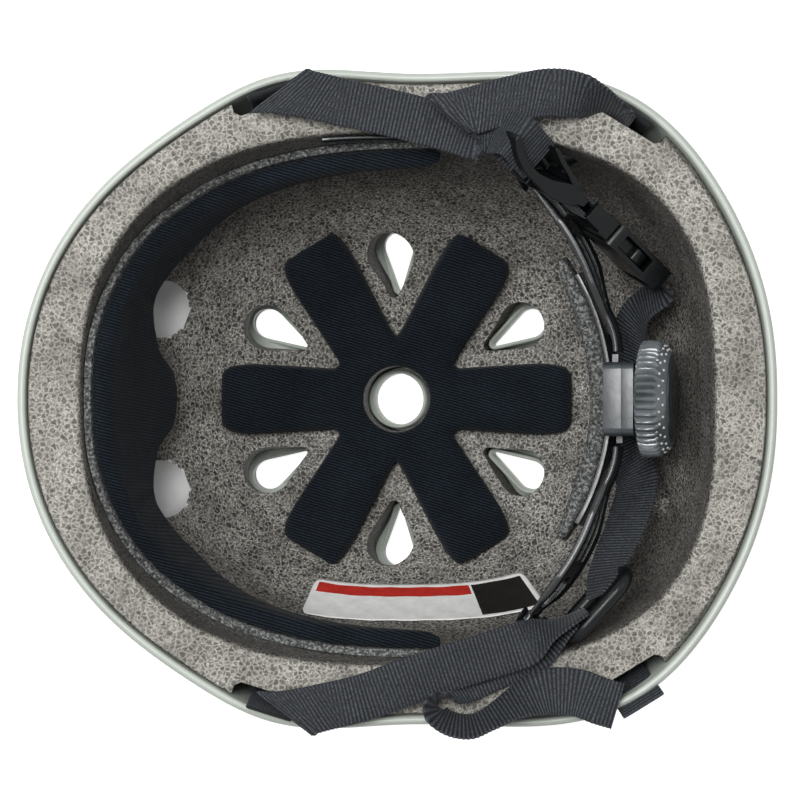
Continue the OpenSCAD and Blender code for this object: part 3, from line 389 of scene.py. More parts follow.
# Partly painted light: the lighter rim tone goes where the foam is high up and faces upward.
high_up = add(tree, "MapRange", {"Value": height.outputs["Z"], 1: RIM_FROM, 2: RIM_FULL})
face_up = add(tree, "MapRange", {"Value": facing.outputs["Z"], 1: 0.35, 2: 0.7})
on_rim = add(tree, "Math", {0: high_up.outputs[0], 1: face_up.outputs[0]}, operation="MULTIPLY")
# Painted shade: steep walls are mixed towards near-black, darkest where they stand upright.
steepness_shade = add(tree, "MapRange", {"Value": facing.outputs["Z"], 1: 0.12, 2: 0.6, 3: 0.45, 4: 0.0})
steep_wall_painted_shade = add(tree, "Mix", {"Factor": steepness_shade.outputs[0], "A": inside.outputs["Result"],
                          "B": linear("#2c2b29")}, **COLOURS)
foam_tone = add(tree, "Mix", {"Factor": on_rim.outputs[0], "A": steep_wall_painted_shade.outputs["Result"],
                              "B": rim.outputs["Result"]}, **COLOURS)
print("foam tone mixed")

# %% [markdown]
# Grit and large soft patches darken that colour, and grit and seams together give the bump.

# %% Expanded polystyrene: grit, patches and surface
grit_tone = add(tree, "ValToRGB", {"Fac": grit.outputs["Fac"]},
                stops=[(0.33, "#7d7c7a"), (0.5, "#d0cfce"), (0.64, "#ffffff")])
gritty = add(tree, "Mix", {"Factor": 0.85, "A": foam_tone.outputs["Result"],
                           "B": grit_tone.outputs["Color"]}, **MULTIPLY)
patch_tone = add(tree, "ValToRGB", {"Fac": patches.outputs["Fac"]},
                 stops=[(0.34, "#b4b3b1"), (0.5, "#e2e1e0"), (0.66, "#ffffff")])
mottled = add(tree, "Mix", {"Factor": 0.8, "A": gritty.outputs["Result"],
                            "B": patch_tone.outputs["Color"]}, **MULTIPLY)
bead_height = add(tree, "Math", {0: grit.outputs["Fac"], 1: 0.5, 2: seams.outputs["Distance"]},
                  operation="MULTIPLY_ADD")
bead_bump = add(tree, "Bump", {"Height": bead_height.outputs[0], "Strength": 0.6, "Distance": 0.0005})
surface = add(tree, "BsdfPrincipled", {"Base Color": mottled.outputs["Result"], "Roughness": 0.6,
                                       "IOR": 1.45, "Normal": bead_bump.outputs["Normal"]})
add(tree, "OutputMaterial", {"Surface": surface.outputs[0]})
print(beads_eps.name)

# %% [markdown]
# Inside the front vents the foam touched a polished insert in the mould, so it is smooth there. It is also
# pale there as painted light, for the light that comes in through the vents.

# %% Expanded polystyrene, smooth, with painted light
vent_painted_light_eps, tree = new_material("expanded_polystyrene_smooth_painted_light")
place = add(tree, "TexCoord").outputs["Object"]
skin = add(tree, "TexNoise", {"Vector": place, "Scale": 700.0, "Detail": 5.0, "Roughness": 0.7})
# Painted light: the pale tone stands for light that comes in through the vent.
skin_tone = add(tree, "ValToRGB", {"Fac": skin.outputs["Fac"]}, stops=[(0.3, "#b5b1a8"), (0.6, "#dedbd3")])
skin_bump = add(tree, "Bump", {"Height": skin.outputs["Fac"], "Strength": 0.4, "Distance": 0.0003})
surface = add(tree, "BsdfPrincipled", {"Base Color": skin_tone.outputs["Color"], "Roughness": 0.55,
                                       "IOR": 1.45, "Normal": skin_bump.outputs["Normal"]})
add(tree, "OutputMaterial", {"Surface": surface.outputs[0]})
print(vent_painted_light_eps.name)

# %% [markdown]
# ### Pad fabric: brushed tricot, laminated to foam
# The pads are faced with a blue-black ribbed knit. The ribs lie about a millimetre apart in one
# direction over the whole pad, because all petals are cut from one sheet. A wave texture with a
# scale s repeats every 2 pi / (20 s) metres, which gives the scale for a 1.1 mm rib. Sheen gives
# the soft light edge that a napped fabric has.

# %% Ribbed knit
RIB_OF_KNIT = 0.0011
KNIT_TURN = math.radians(16)

pad_knit, tree = new_material("ribbed_knit_blue_black")
place = add(tree, "TexCoord").outputs["Object"]
turned_place = add(tree, "Mapping", {"Vector": place, "Rotation": (0, 0, KNIT_TURN)}).outputs[0]
ribs = add(tree, "TexWave", {"Vector": turned_place, "Scale": 2 * math.pi / (20 * RIB_OF_KNIT),
                             "Distortion": 0.8, "Detail": 1.0, "Detail Scale": 40.0}, bands_direction="Y")
stitches = add(tree, "TexNoise", {"Vector": turned_place, "Scale": 1600.0, "Detail": 2.0})
rib_tone = add(tree, "ValToRGB", {"Fac": ribs.outputs["Fac"]}, stops=[(0.15, "#0c1014"), (0.85, "#29323b")])
stitch_tone = add(tree, "ValToRGB", {"Fac": stitches.outputs["Fac"]},
                  stops=[(0.35, "#8e8e90"), (0.65, "#ffffff")])
stitched = add(tree, "Mix", {"Factor": 0.7, "A": rib_tone.outputs["Color"],
                             "B": stitch_tone.outputs["Color"]}, **MULTIPLY)
cloudy = add(tree, "TexNoise", {"Vector": place, "Scale": 60.0, "Detail": 3.0})
wear = add(tree, "ValToRGB", {"Fac": cloudy.outputs["Fac"]}, stops=[(0.3, "#b8bcc0"), (0.7, "#ffffff")])
knit_tone = add(tree, "Mix", {"Factor": 0.6, "A": stitched.outputs["Result"],
                              "B": wear.outputs["Color"]}, **MULTIPLY)
knit_height = add(tree, "Math", {0: stitches.outputs["Fac"], 1: 0.5, 2: ribs.outputs["Fac"]},
                  operation="MULTIPLY_ADD")
raised = add(tree, "Bump", {"Height": knit_height.outputs[0], "Strength": 0.5, "Distance": 0.0003})
surface = add(tree, "BsdfPrincipled", {
    "Base Color": knit_tone.outputs["Result"], "Roughness": 0.95, "IOR": 1.45, "Sheen Weight": 0.05,
    "Sheen Roughness": 0.5, "Specular IOR Level": 0.12, "Normal": raised.outputs["Normal"]})
add(tree, "OutputMaterial", {"Surface": surface.outputs[0]})
print(pad_knit.name)

# %% [markdown]
# ### Bare foam: open-cell polyurethane
# The strip behind the brow pad and the nape pad are bare grey foam. Its pores are about 0.6 mm
# across, so up close it looks like fine salt and pepper.

# %% Open-cell foam
PORE = 0.0006

cell_foam, tree = new_material("open_cell_foam_grey")
place = add(tree, "TexCoord").outputs["Object"]
pores = add(tree, "TexVoronoi", {"Vector": place, "Scale": 1 / PORE, "Randomness": 1.0})
fluff = add(tree, "TexNoise", {"Vector": place, "Scale": 900.0, "Detail": 4.0, "Roughness": 0.75})
pore_tone = add(tree, "ValToRGB", {"Fac": fluff.outputs["Fac"]},
                stops=[(0.36, "#2b2c2c"), (0.5, "#555756"), (0.62, "#9a9c9a")])
pore_bump = add(tree, "Bump", {"Height": pores.outputs["Distance"], "Strength": 0.5, "Distance": 0.0003})
surface = add(tree, "BsdfPrincipled", {
    "Base Color": pore_tone.outputs["Color"], "Roughness": 0.95, "IOR": 1.4, "Specular IOR Level": 0.2,
    "Normal": pore_bump.outputs["Normal"]})
add(tree, "OutputMaterial", {"Surface": surface.outputs[0]})
print(cell_foam.name)

# %% [markdown]
# ### Webbing: woven polyester
# The ribs across the webbing are real geometry. The mesh also carries a value for every point that says how
# deep in a groove it lies, and the material darkens the yarn there as painted shade. Noise draws the threads
# inside a rib.

# %% Woven polyester
woven_strap, tree = new_material("woven_polyester_slate")
place = add(tree, "TexCoord").outputs["Object"]
threads = add(tree, "TexNoise", {"Vector": place, "Scale": 1500.0, "Detail": 2.0, "Roughness": 0.6})
thread_tone = add(tree, "ValToRGB", {"Fac": threads.outputs["Fac"]},
                  stops=[(0.35, "#2b2f34"), (0.65, "#565b62")])
groove = add(tree, "Attribute", attribute_name="groove")
# Painted shade: the deeper in a groove, the darker the yarn.
groove_shade_tone = add(tree, "ValToRGB", {"Fac": groove.outputs["Fac"]},
                  stops=[(0.15, "#ffffff"), (0.6, "#8a8a8a"), (0.95, "#3c3c3c")])
groove_shaded = add(tree, "Mix", {"Factor": 1.0, "A": thread_tone.outputs["Color"],
                            "B": groove_shade_tone.outputs["Color"]}, **MULTIPLY)
cloudy = add(tree, "TexNoise", {"Vector": place, "Scale": 40.0, "Detail": 2.0})
wear = add(tree, "ValToRGB", {"Fac": cloudy.outputs["Fac"]}, stops=[(0.3, "#c9ccd0"), (0.7, "#ffffff")])
strap_tone = add(tree, "Mix", {"Factor": 0.6, "A": groove_shaded.outputs["Result"],
                               "B": wear.outputs["Color"]}, **MULTIPLY)
thread_bump = add(tree, "Bump", {"Height": threads.outputs["Fac"], "Strength": 0.35, "Distance": 0.0002})
surface = add(tree, "BsdfPrincipled", {
    "Base Color": strap_tone.outputs["Result"], "Roughness": 0.75, "IOR": 1.5, "Specular IOR Level": 0.3,
    "Sheen Weight": 0.08, "Sheen Roughness": 0.4, "Normal": thread_bump.outputs["Normal"]})
add(tree, "OutputMaterial", {"Surface": surface.outputs[0]})
print(woven_strap.name)

# %% [markdown]
# ### Cradle and buckle: injection-moulded nylon and acetal
# The arms, the band and the buckle are black moulded plastic from polished moulds, and the
# housing and the dial are smoky polycarbonate. They differ in colour, gloss and clearness, so
# one recipe takes those as its numbers. Faint rubbing and a fine ripple in the surface keep the
# highlights from looking drawn.

# %% Moulded plastics
def moulded_plastic(name, light, dark, roughness, clear=0.0, ripple=0.06, shine=0.5):
    material, tree = new_material(name)
    place = add(tree, "TexCoord").outputs["Object"]
    cloudy = add(tree, "TexNoise", {"Vector": place, "Scale": 90.0, "Detail": 4.0})
    tone = add(tree, "ValToRGB", {"Fac": cloudy.outputs["Fac"]}, stops=[(0.3, dark), (0.7, light)])
    rub = add(tree, "TexNoise", {"Vector": place, "Scale": 300.0, "Detail": 4.0})
    rubbed = add(tree, "MapRange", {"Value": rub.outputs["Fac"], 1: 0.3, 2: 0.7,
                                    3: roughness * 0.8, 4: roughness * 1.25})
    wave = add(tree, "TexNoise", {"Vector": place, "Scale": 500.0, "Detail": 1.0})
    bumped = add(tree, "Bump", {"Height": wave.outputs["Fac"], "Strength": ripple, "Distance": 0.0003})
    surface = add(tree, "BsdfPrincipled", {
        "Base Color": tone.outputs["Color"], "Roughness": rubbed.outputs[0], "IOR": 1.52,
        "Specular IOR Level": shine, "Transmission Weight": clear, "Normal": bumped.outputs["Normal"]})
    add(tree, "OutputMaterial", {"Surface": surface.outputs[0]})
    return material


black_nylon = moulded_plastic("moulded_nylon_black", "#14181b", "#0b0e10", 0.26)
black_acetal = moulded_plastic("moulded_acetal_black", "#0e1113", "#080a0b", 0.3, ripple=0.1, shine=0.22)
smoke_carbonate = moulded_plastic("moulded_polycarbonate_smoke", "#4b5154", "#34393c", 0.24, 0.1, shine=0.35)
grip_carbonate = moulded_plastic("moulded_polycarbonate_grip", "#777d81", "#4c5255", 0.12, 0.12)
dark_carbonate = moulded_plastic("moulded_polycarbonate_dark", "#3d4245", "#2c3033", 0.2)
# Painted highlight: this pale plastic makes the dial's pips read as bright glints.
pip_highlight_carbonate = moulded_plastic("moulded_polycarbonate_painted_highlight", "#c3c8ca", "#a9aeb1", 0.15)
print("six moulded plastics, from", black_nylon.name, "to", pip_highlight_carbonate.name)

# %% [markdown]
# ### Steel and label stock
# The rivets, the screws and the pinion shaft are zinc-plated steel, which is dull silver with
# fine mottling. The label is a white vinyl film; its red edge and dark end are printed fields
# without any words, so one recipe serves three inks.

# %% Zinc-plated steel
zinc_steel, tree = new_material("zinc_plated_steel")
place = add(tree, "TexCoord").outputs["Object"]
spangle = add(tree, "TexNoise", {"Vector": place, "Scale": 600.0, "Detail": 3.0})
plated = add(tree, "ValToRGB", {"Fac": spangle.outputs["Fac"]}, stops=[(0.3, "#8f9294"), (0.7, "#b9bcbe")])
worn = add(tree, "MapRange", {"Value": spangle.outputs["Fac"], 3: 0.28, 4: 0.5})
surface = add(tree, "BsdfPrincipled", {
    "Base Color": plated.outputs["Color"], "Metallic": 1.0, "Roughness": worn.outputs[0]})
add(tree, "OutputMaterial", {"Surface": surface.outputs[0]})
print(zinc_steel.name)

# %% Vinyl film
def vinyl(name, light, dark):
    material, tree = new_material(name)
    place = add(tree, "TexCoord").outputs["Object"]
    ink = add(tree, "TexNoise", {"Vector": place, "Scale": 350.0, "Detail": 3.0})
    tone = add(tree, "ValToRGB", {"Fac": ink.outputs["Fac"]}, stops=[(0.3, dark), (0.7, light)])
    bumped = add(tree, "Bump", {"Height": ink.outputs["Fac"], "Strength": 0.1, "Distance": 0.0002})
    surface = add(tree, "BsdfPrincipled", {"Base Color": tone.outputs["Color"], "Roughness": 0.42,
                                           "IOR": 1.5, "Normal": bumped.outputs["Normal"]})
    add(tree, "OutputMaterial", {"Surface": surface.outputs[0]})
    return material


vinyl_white = vinyl("vinyl_film_white", "#f3f3f1", "#e6e6e3")
vinyl_red = vinyl("vinyl_film_red", "#c4342b", "#b12c24")
vinyl_dark = vinyl("vinyl_film_dark", "#24221f", "#1a1917")
print(vinyl_white.name, vinyl_red.name, vinyl_dark.name)

# %% [markdown]
# ## The shape of the helmet
# The shell and the liner are domes over an egg-shaped outline. The outline is a superellipse
# with a bulge at each rear corner and one ahead of each ear, and the dome is a superellipse in
# side view. The same few functions give every point on the shell, on the liner's wall and on
# the pads that lie against it.

# %% Outline and dome
SHELL_LENGTH, SHELL_WIDTH, SHELL_HEIGHT, SHELL_WALL = 271, 231.5, 150, 3.2
SHELL_PLAN, SHELL_SQUARE = (2.33, 2.1), 2.3
HEAD_HALVES, HEAD_PLAN, HEAD_SQUARE = (113, 112.8, 95.3), (2.9, 2.45), 2.4
REAR_BULGE, EAR_BULGE = (9.5, 54, 20), (5.3, 110, 15)
RIM_FALL, SIDE_DIP = 1.5, (5, 88, 26)
CROWN_FLOOR, CROWN_DIP = 30, 0.35
WIDEST = SHELL_HEIGHT + 2


def bulge(turn, height, centre, width):
    return height * math.exp(-((turn - centre) / width) ** 2)


def from_rear(a):
    return abs((a + 900) % 360 - 180)


def eased(low, high, at):
    share = min(1.0, max(0.0, (at - low) / (high - low)))
    return share * share * (3 - 2 * share)


def oval_radius(a, rear, front, side, rear_full, front_full):
    c, s = math.cos(math.radians(a)), math.sin(math.radians(a))
    along, full = (rear, rear_full) if c > 0 else (front, front_full)
    return ((abs(c) / along) ** full + (abs(s) / side) ** full) ** (-1 / full)


def shell_radius(a, inset=0):
    half = SHELL_LENGTH / 2 - inset
    oval = oval_radius(a, half, half, SHELL_WIDTH / 2 - inset, *SHELL_PLAN)
    return oval + bulge(from_rear(a), *REAR_BULGE) + bulge(from_rear(a), *EAR_BULGE)


def head_radius(a):
    return oval_radius(a, *HEAD_HALVES, *HEAD_PLAN)


def rim_height(a):
    turn = from_rear(a)
    return SHELL_HEIGHT - RIM_FALL * (1 - math.cos(math.radians(turn))) - bulge(turn, *SIDE_DIP)


def polar(a, radius, z):
    return (radius * math.cos(math.radians(a)), radius * math.sin(math.radians(a)), z)


def dome_point(a, share, radius, floor, top, square):
    last = math.acos(((WIDEST - top) / (WIDEST - floor)) ** (square / 2))
    t = last * share
    q = math.sin(t) ** (2 / square)
    return polar(a, radius * q, floor + (WIDEST - floor) * (1 - math.cos(t) ** (2 / square)))


print("shell outline at the rear, side and front:",
      [round(shell_radius(a), 1) for a in (0, 90, 180)])

# %% [markdown]
# Pads and labels lie on the wall or the floor of the head space. Two functions give a point at
# a chosen distance off that surface: one for an angle and a height on the wall, and one for an
# angle and a distance from the middle on the floor.

# %% Points off the head space
def wall_point(a, z):
    share = (1 - ((WIDEST - z) / (WIDEST - CROWN_FLOOR)) ** HEAD_SQUARE) ** (1 / HEAD_SQUARE)
    return Vector(polar(a, head_radius(a) * share, z))


def floor_point(a, r):
    share = min(r / head_radius(a), 1)
    rise = 1 - (1 - share ** HEAD_SQUARE) ** (1 / HEAD_SQUARE)
    return Vector(polar(a, r, CROWN_FLOOR + (WIDEST - CROWN_FLOOR) * rise))


def off_surface(point_at, a, other, gap):
    up = point_at(a, other + 0.5) - point_at(a, other - 0.5)
    along = point_at(a + 0.5, other) - point_at(a - 0.5, other)
    return point_at(a, other) + gap * up.cross(along).normalized()


def off_wall(a, z, gap):
    return off_surface(wall_point, a, z, gap)


def off_floor(a, r, gap):
    return off_surface(floor_point, a, r, gap)


print("a point on the front wall:", [round(c, 1) for c in off_wall(180, 100, 5)])

# %% [markdown]
# ## Outer shell
# The shell is one skin: up the outside from the crown, over the rounded rim and down the
# inside. The vents are cut through it afterwards with closed cutting forms, which keeps their
# walls square to the direction in which the mould opens.

# %% Shell skin
AROUND = 240


def ring_of(point):
    return [point(i * 360 / AROUND) for i in range(AROUND)]


def bowl(rings, first_pole, last_pole):
    points = [p for ring in rings for p in ring] + [first_pole, last_pole]
    faces = skin_faces(len(rings), AROUND)
    count = len(rings) * AROUND
    last = count - AROUND
    for i in range(AROUND):
        j = (i + 1) % AROUND
        faces.append((count, i, j))
        faces.append((last + i, count + 1, last + j))
    return points, faces


def dome_rings(levels, inset, drop, up=True):
    shares = [j / levels for j in range(1, levels + 1)]
    floor = inset - CROWN_DIP
    return [ring_of(lambda a, s=s: dome_point(a, s, shell_radius(a, inset), floor, rim_height(a) - drop,
                                              SHELL_SQUARE))
            for s in (shares if up else reversed(shares))]


RIM_PROFILE = [(0.08, 2.5), (0.32, 1.6), (0.75, 0.8), (1.25, 0.28), (1.8, 0.04), (2.3, 0.06),
               (2.75, 0.34), (3.1, 0.8)]
rim_rings = [ring_of(lambda a, p=p: polar(a, shell_radius(a, p[0]), rim_height(a) - p[1]))
             for p in RIM_PROFILE]
shell_rings = (dome_rings(levels=40, inset=0, drop=3.4) + rim_rings
               + dome_rings(levels=30, inset=SHELL_WALL, drop=1.4, up=False))
shell = make_piece("shell", *bowl(shell_rings, (0, 0, -CROWN_DIP), (0, 0, SHELL_WALL - CROWN_DIP)),
                   moulded_abs, "helmet", "shell")
print("shell skin:", len(shell.data.polygons), "faces")

# %% [markdown]
# Seven vents pierce the crown: a round one and six teardrops whose tips point at it. They lean
# towards the rear, because the mould of the shell opens in that direction. Each cutting form is
# an outline drawn in that leaning direction.

# %% Vent outlines
VENT_LEAN, TEARDROPS = 8, 6
TEARDROP_TURNS = [30 + k * 360 / TEARDROPS for k in range(TEARDROPS)]


def teardrop(far, radius, length, tip):
    turn = math.degrees(math.acos((radius - tip) / length))
    round_end = [(far + radius * math.cos(math.radians(a)), radius * math.sin(math.radians(a)))
                 for a in (180 + turn + k * (360 - 2 * turn) / 28 for k in range(29))]
    point_end = [(far - length + tip * math.cos(math.radians(a)), tip * math.sin(math.radians(a)))
                 for a in (180 - turn + k * 2 * turn / 6 for k in range(7))]
    return round_end + point_end


def circle(centre, radius):
    return [(centre + radius * math.cos(t), radius * math.sin(t)) for t in full_turn(64)]


def leaning(turn):
    return (Matrix.Translation((0, 0, CROWN_FLOOR)) @ Matrix.Rotation(math.radians(-VENT_LEAN), 4, "Y")
            @ Matrix.Rotation(math.radians(turn), 4, "Z"))


def leaning_loop(outline, turn, z):
    spin = leaning(turn)
    return [tuple(spin @ Vector((x, y, z))) for x, y in outline]


def leaning_form(name, levels, turn=0):
    return form_only(name, *capped([leaning_loop(outline, turn, z) for outline, z in levels]))


print("teardrops at", TEARDROP_TURNS)

# %% [markdown]
# Two oval vents pierce the wall at the front and two round ones at the rear. Their outline is
# two half circles, drawn at the vent's angle and height. The holes in the shell are 3 mm smaller
# than those in the liner.

# %% Cut the shell's vents
SHELL_TEAR = (63.5, 6.2, 17.3, 1.2)
CROWN_VENT_AT, CROWN_VENT_RADIUS = -1.2, 10.9
CUT_LEVELS = (-42, 20)
FRONT_VENT_TURN, FRONT_VENT_Z, FRONT_VENT_W, FRONT_VENT_H = 21, 76, 20, 13
REAR_VENT_TURN, REAR_VENT_Z, REAR_VENT_W = 21.5, 95, 12
SMALLER_IN_SHELL = 3


def wall_cutter(name, a, z, w, h):
    outline = [(side * (w - h) / 2 + h / 2 * math.cos(t), h / 2 * math.sin(t))
               for side, start in ((1, -90), (-1, 90))
               for t in (math.radians(start + k * 12) for k in range(16))]
    spin = Matrix.Rotation(math.radians(a), 3, "Z")
    loops = [[tuple(spin @ Vector((r, y, z + up))) for y, up in outline] for r in (60, 160)]
    return form_only(name, *capped(loops))


def wall_cutters(shrink):
    front = [wall_cutter("front_cut", 180 + s * FRONT_VENT_TURN, FRONT_VENT_Z, FRONT_VENT_W - shrink,
                         FRONT_VENT_H - shrink) for s in (-1, 1)]
    rear = [wall_cutter("rear_cut", s * REAR_VENT_TURN, REAR_VENT_Z, REAR_VENT_W - shrink + 0.01,
                        REAR_VENT_W - shrink) for s in (-1, 1)]
    return front + rear


shell_cuts = [leaning_form("tear_cut", [(teardrop(*SHELL_TEAR), z) for z in CUT_LEVELS], turn)
              for turn in TEARDROP_TURNS]
crown_circle = circle(CROWN_VENT_AT, CROWN_VENT_RADIUS)
shell_cuts.append(leaning_form("crown_cut", [(crown_circle, z) for z in CUT_LEVELS]))
cut_away(shell, shell_cuts + wall_cutters(SMALLER_IN_SHELL))
print("vents cut:", len(shell.data.polygons), "faces")

# %% [markdown]
# Round each crown vent the shell stands up into the foam as a thin lip. Seen from inside it is
# the smooth band at the bottom of each hole. A lip is a thin wall between two outlines, from
# inside the shell's thickness up to its top.

# %% Vent lips
LIP_ROOT, LIP_ROUND = 1.4, 0.4
TEAR_LIP = (63.5, 6.18, 17.3, 1.18), (63.5, 7.5, 17.3, 2.5)
CROWN_LIP = (CROWN_VENT_AT, 10.88), (CROWN_VENT_AT, 12.2)


def shell_floor_under(x, y):
    r, a = math.hypot(x, y), math.degrees(math.atan2(y, x))
    rise = 1 - (1 - (r / shell_radius(a)) ** SHELL_SQUARE) ** (1 / SHELL_SQUARE)
    return -CROWN_DIP + (WIDEST + CROWN_DIP) * rise + LIP_ROOT


def on_shell(x, y, turn):
    spin = leaning(turn)
    z = -30.0
    for _ in range(12):
        p = spin @ Vector((x, y, z))
        z += (shell_floor_under(p.x, p.y) - p.z) * 0.9
    return tuple(spin @ Vector((x, y, z)))


def lip(name, inner, outer, turn, top):
    middle = [((a[0] + b[0]) / 2, (a[1] + b[1]) / 2) for a, b in zip(inner, outer)]
    loops = [[on_shell(x, y, turn) for x, y in inner], leaning_loop(inner, turn, top - LIP_ROUND),
             leaning_loop(middle, turn, top), leaning_loop(outer, turn, top - LIP_ROUND),
             [on_shell(x, y, turn) for x, y in outer]]
    return make_piece(name, *closed_round(loops), moulded_abs, "helmet", "shell", sharp=60)


lips = [lip(f"vent_lip_{k}", *[teardrop(*tear) for tear in TEAR_LIP], turn, top=-8)
        for k, turn in enumerate(TEARDROP_TURNS)]
lips.append(lip("vent_lip_crown", *[circle(*hole) for hole in CROWN_LIP], 0, top=-12))
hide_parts("outer_shell")
print("lips:", len(lips))

# %% [markdown]
# ## Foam liner
# The liner fills the space between the shell and the head. Its rim is a flat band with a rounded
# inner edge, and it stands off the shell a little at the rear corners.

# %% Liner body
LINER_INSET = SHELL_WALL + 0.4
CORNER_GAP = (1.3, 40, 20)
RIM_DROP, RIM_SOFT = 1.5, 0.5
RIM_EDGE = [(2.2, 0.0), (1.4, 0.2), (0.8, 0.65), (0.4, 1.3), (0.15, 2.2)]


def liner_rim(a):
    return rim_height(a) - RIM_DROP


def liner_edge(a):
    return shell_radius(a, LINER_INSET + RIM_SOFT + bulge(from_rear(a), *CORNER_GAP))


def rim_band(a, share):
    return polar(a, (1 - share) * liner_edge(a) + share * (head_radius(a) + 3), liner_rim(a))


def head_wall(a, share):
    return dome_point(a, share, head_radius(a), CROWN_FLOOR, liner_rim(a) - 3.6, HEAD_SQUARE)


liner_rings = (dome_rings(levels=16, inset=LINER_INSET, drop=5.0)
               + [ring_of(lambda a: polar(a, liner_edge(a), liner_rim(a) - RIM_SOFT))]
               + [ring_of(lambda a: polar(a, liner_edge(a) - RIM_SOFT, liner_rim(a)))]
               + [ring_of(lambda a, s=s: rim_band(a, s)) for s in (0.33, 0.66)]
               + [ring_of(lambda a, e=e: polar(a, head_radius(a) + e[0], liner_rim(a) - e[1]))
                  for e in RIM_EDGE]
               + [ring_of(lambda a, s=j / 60: head_wall(a, s)) for j in range(60, 0, -1)])
liner = make_piece("liner", *bowl(liner_rings, (0, 0, LINER_INSET - CROWN_DIP), (0, 0, CROWN_FLOOR)),
                   beads_eps, "helmet", "liner")
print("liner:", len(liner.data.polygons), "faces")

# %% [markdown]
# The liner gets the vents of the shell, only wider, and a pocket at each strap, where the foam
# stops short of the shell. A round hole takes the post of each arm's stud, so the frame in which
# the arms lie is set here: it starts at the hinge beside the housing and turns with the arm.

# %% Strap pockets and holes for the posts
STRAPS = {"front_left": 112, "rear_left": 51, "front_right": -112, "rear_right": -51}
RIVET_HEIGHT = 124
POCKET_DEPTH, POCKET_FAR, POCKET_HALF, POCKET_CORNER, POCKET_LEVELS = 6, 12, 15, 2, (-14, 46)
HINGE = Vector((81.79, 16.5, 121.8))
CRADLE_LEAN = 15
ARM_BEND, ARM_TURN, ARM_LENGTH = 30, 30, 58
POST_START, POST_RADIUS, POST_DEPTH = 2.05, 4.6, 20


def shell_out(a, z):
    share = (1 - ((WIDEST - z) / WIDEST) ** SHELL_SQUARE) ** (1 / SHELL_SQUARE)
    return Vector(polar(a, shell_radius(a) * share, z))


def shell_heading(a):
    t = shell_out(a + 0.5, RIVET_HEIGHT) - shell_out(a - 0.5, RIVET_HEIGHT)
    return math.atan2(-t.x, t.y)


def pocket(a):
    spin = Matrix.Translation(shell_out(a, RIVET_HEIGHT)) @ Matrix.Rotation(shell_heading(a), 4, "Z")
    near, far, half, corner = -LINER_INSET - POCKET_DEPTH, POCKET_FAR, POCKET_HALF, POCKET_CORNER
    outline = [(near, -half + corner), (near + corner, -half), (far, -half), (far, half),
               (near + corner, half), (near, half - corner)]
    loops = [[tuple(spin @ Vector((x, y, z))) for x, y in outline] for z in POCKET_LEVELS]
    return form_only("pocket", *capped(loops))


def arm_frame(side, turn=ARM_TURN):
    place = (Matrix.Translation(HINGE - Vector((ARM_BEND, 0, 0)))
             @ Matrix.Rotation(math.radians(turn), 4, "Z")
             @ Matrix.Translation((ARM_BEND, 0, 0))
             @ Matrix.Rotation(math.radians(-CRADLE_LEAN), 4, "Y"))
    return place if side > 0 else Matrix.Scale(-1, 4, (0, 1, 0)) @ place


def anchor_cutter(side):
    post = (arm_frame(side) @ Matrix.Translation((POST_START, ARM_LENGTH, 0))
            @ Matrix.Rotation(math.radians(90), 4, "Y"))
    loops = [[tuple(post @ Vector((POST_RADIUS * math.cos(t), POST_RADIUS * math.sin(t), z)))
              for t in full_turn(32)] for z in (0, POST_DEPTH)]
    return form_only("anchor_cut", *capped(loops))


post_at = arm_frame(1) @ Vector((POST_START, ARM_LENGTH, 0))
print("left post at", [round(c, 1) for c in post_at])

# %% [markdown]
# Each front vent opens into a shallow dish, an egg-shaped hollow in the foam. Its faces are found again
# after the cut, because they lie on the egg, and get the smooth foam with its painted light.

# %% Cut the liner
LINER_TEAR = [((63.8, 9.9, 18.8, 2), -32), ((63.3, 9.9, 18.8, 2), -14), ((58.1, 9.4, 15, 2), 18),
              ((57.1, 9.4, 15, 2), 34)]
LINER_CROWN_RADIUS = 13.6
DISH_AT, DISH = Vector((105, 0, 75)), (20, 12.5, 17)
DISH_TURNS = [180 + s * FRONT_VENT_TURN for s in (-1, 1)]
ON_DISH = 0.03


def dish(a):
    place = Matrix.Rotation(math.radians(a), 4, "Z") @ Matrix.Translation(DISH_AT)
    loops = []
    for t in (math.pi * k / 28 for k in range(1, 28)):
        wide, deep = DISH[0] * math.sin(t), DISH[1] * math.sin(t)
        loops.append([tuple(place @ Vector((wide * math.cos(b), deep * math.sin(b), -DISH[2] * math.cos(t))))
                      for b in full_turn(48)])
    return form_only("dish_cut", *capped(loops))


liner_tear = [(teardrop(*tear), z) for tear, z in LINER_TEAR]
liner_cuts = [leaning_form("liner_tear", liner_tear, turn) for turn in TEARDROP_TURNS]
liner_cuts += [dish(a) for a in DISH_TURNS]
liner_cuts.append(leaning_form("liner_crown", [(circle(0, LINER_CROWN_RADIUS), z) for z in (-36, 30)]))
liner_cuts += wall_cutters(0) + [pocket(a) for a in STRAPS.values()] + [anchor_cutter(s) for s in (-1, 1)]
cut_away(liner, liner_cuts)
liner.data.materials.append(vent_painted_light_eps)
for face in liner.data.polygons:
    for a in DISH_TURNS:
        q = Matrix.Rotation(math.radians(-a), 3, "Z") @ (face.center / MM) - DISH_AT
        if abs(sum((q[i] / DISH[i]) ** 2 for i in range(3)) - 1) < ON_DISH:
            face.material_index = 1
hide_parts("liner_crown", "liner_front_left", "liner_front_right", "liner_rear_left",
            "liner_rear_right")
print("liner cut:", len(liner.data.polygons), "faces")

# %% [markdown]
# ## Padding that swells
# The pads get their plump faces from a short cloth simulation. The form is remeshed to even
# small squares, pressed from inside for twenty frames with gravity off, and the result is kept.
# A cap on how far any point may move keeps the pads inside their space.

# %% Swell a pad
PRESSURE, FRAMES = 4.0, 20


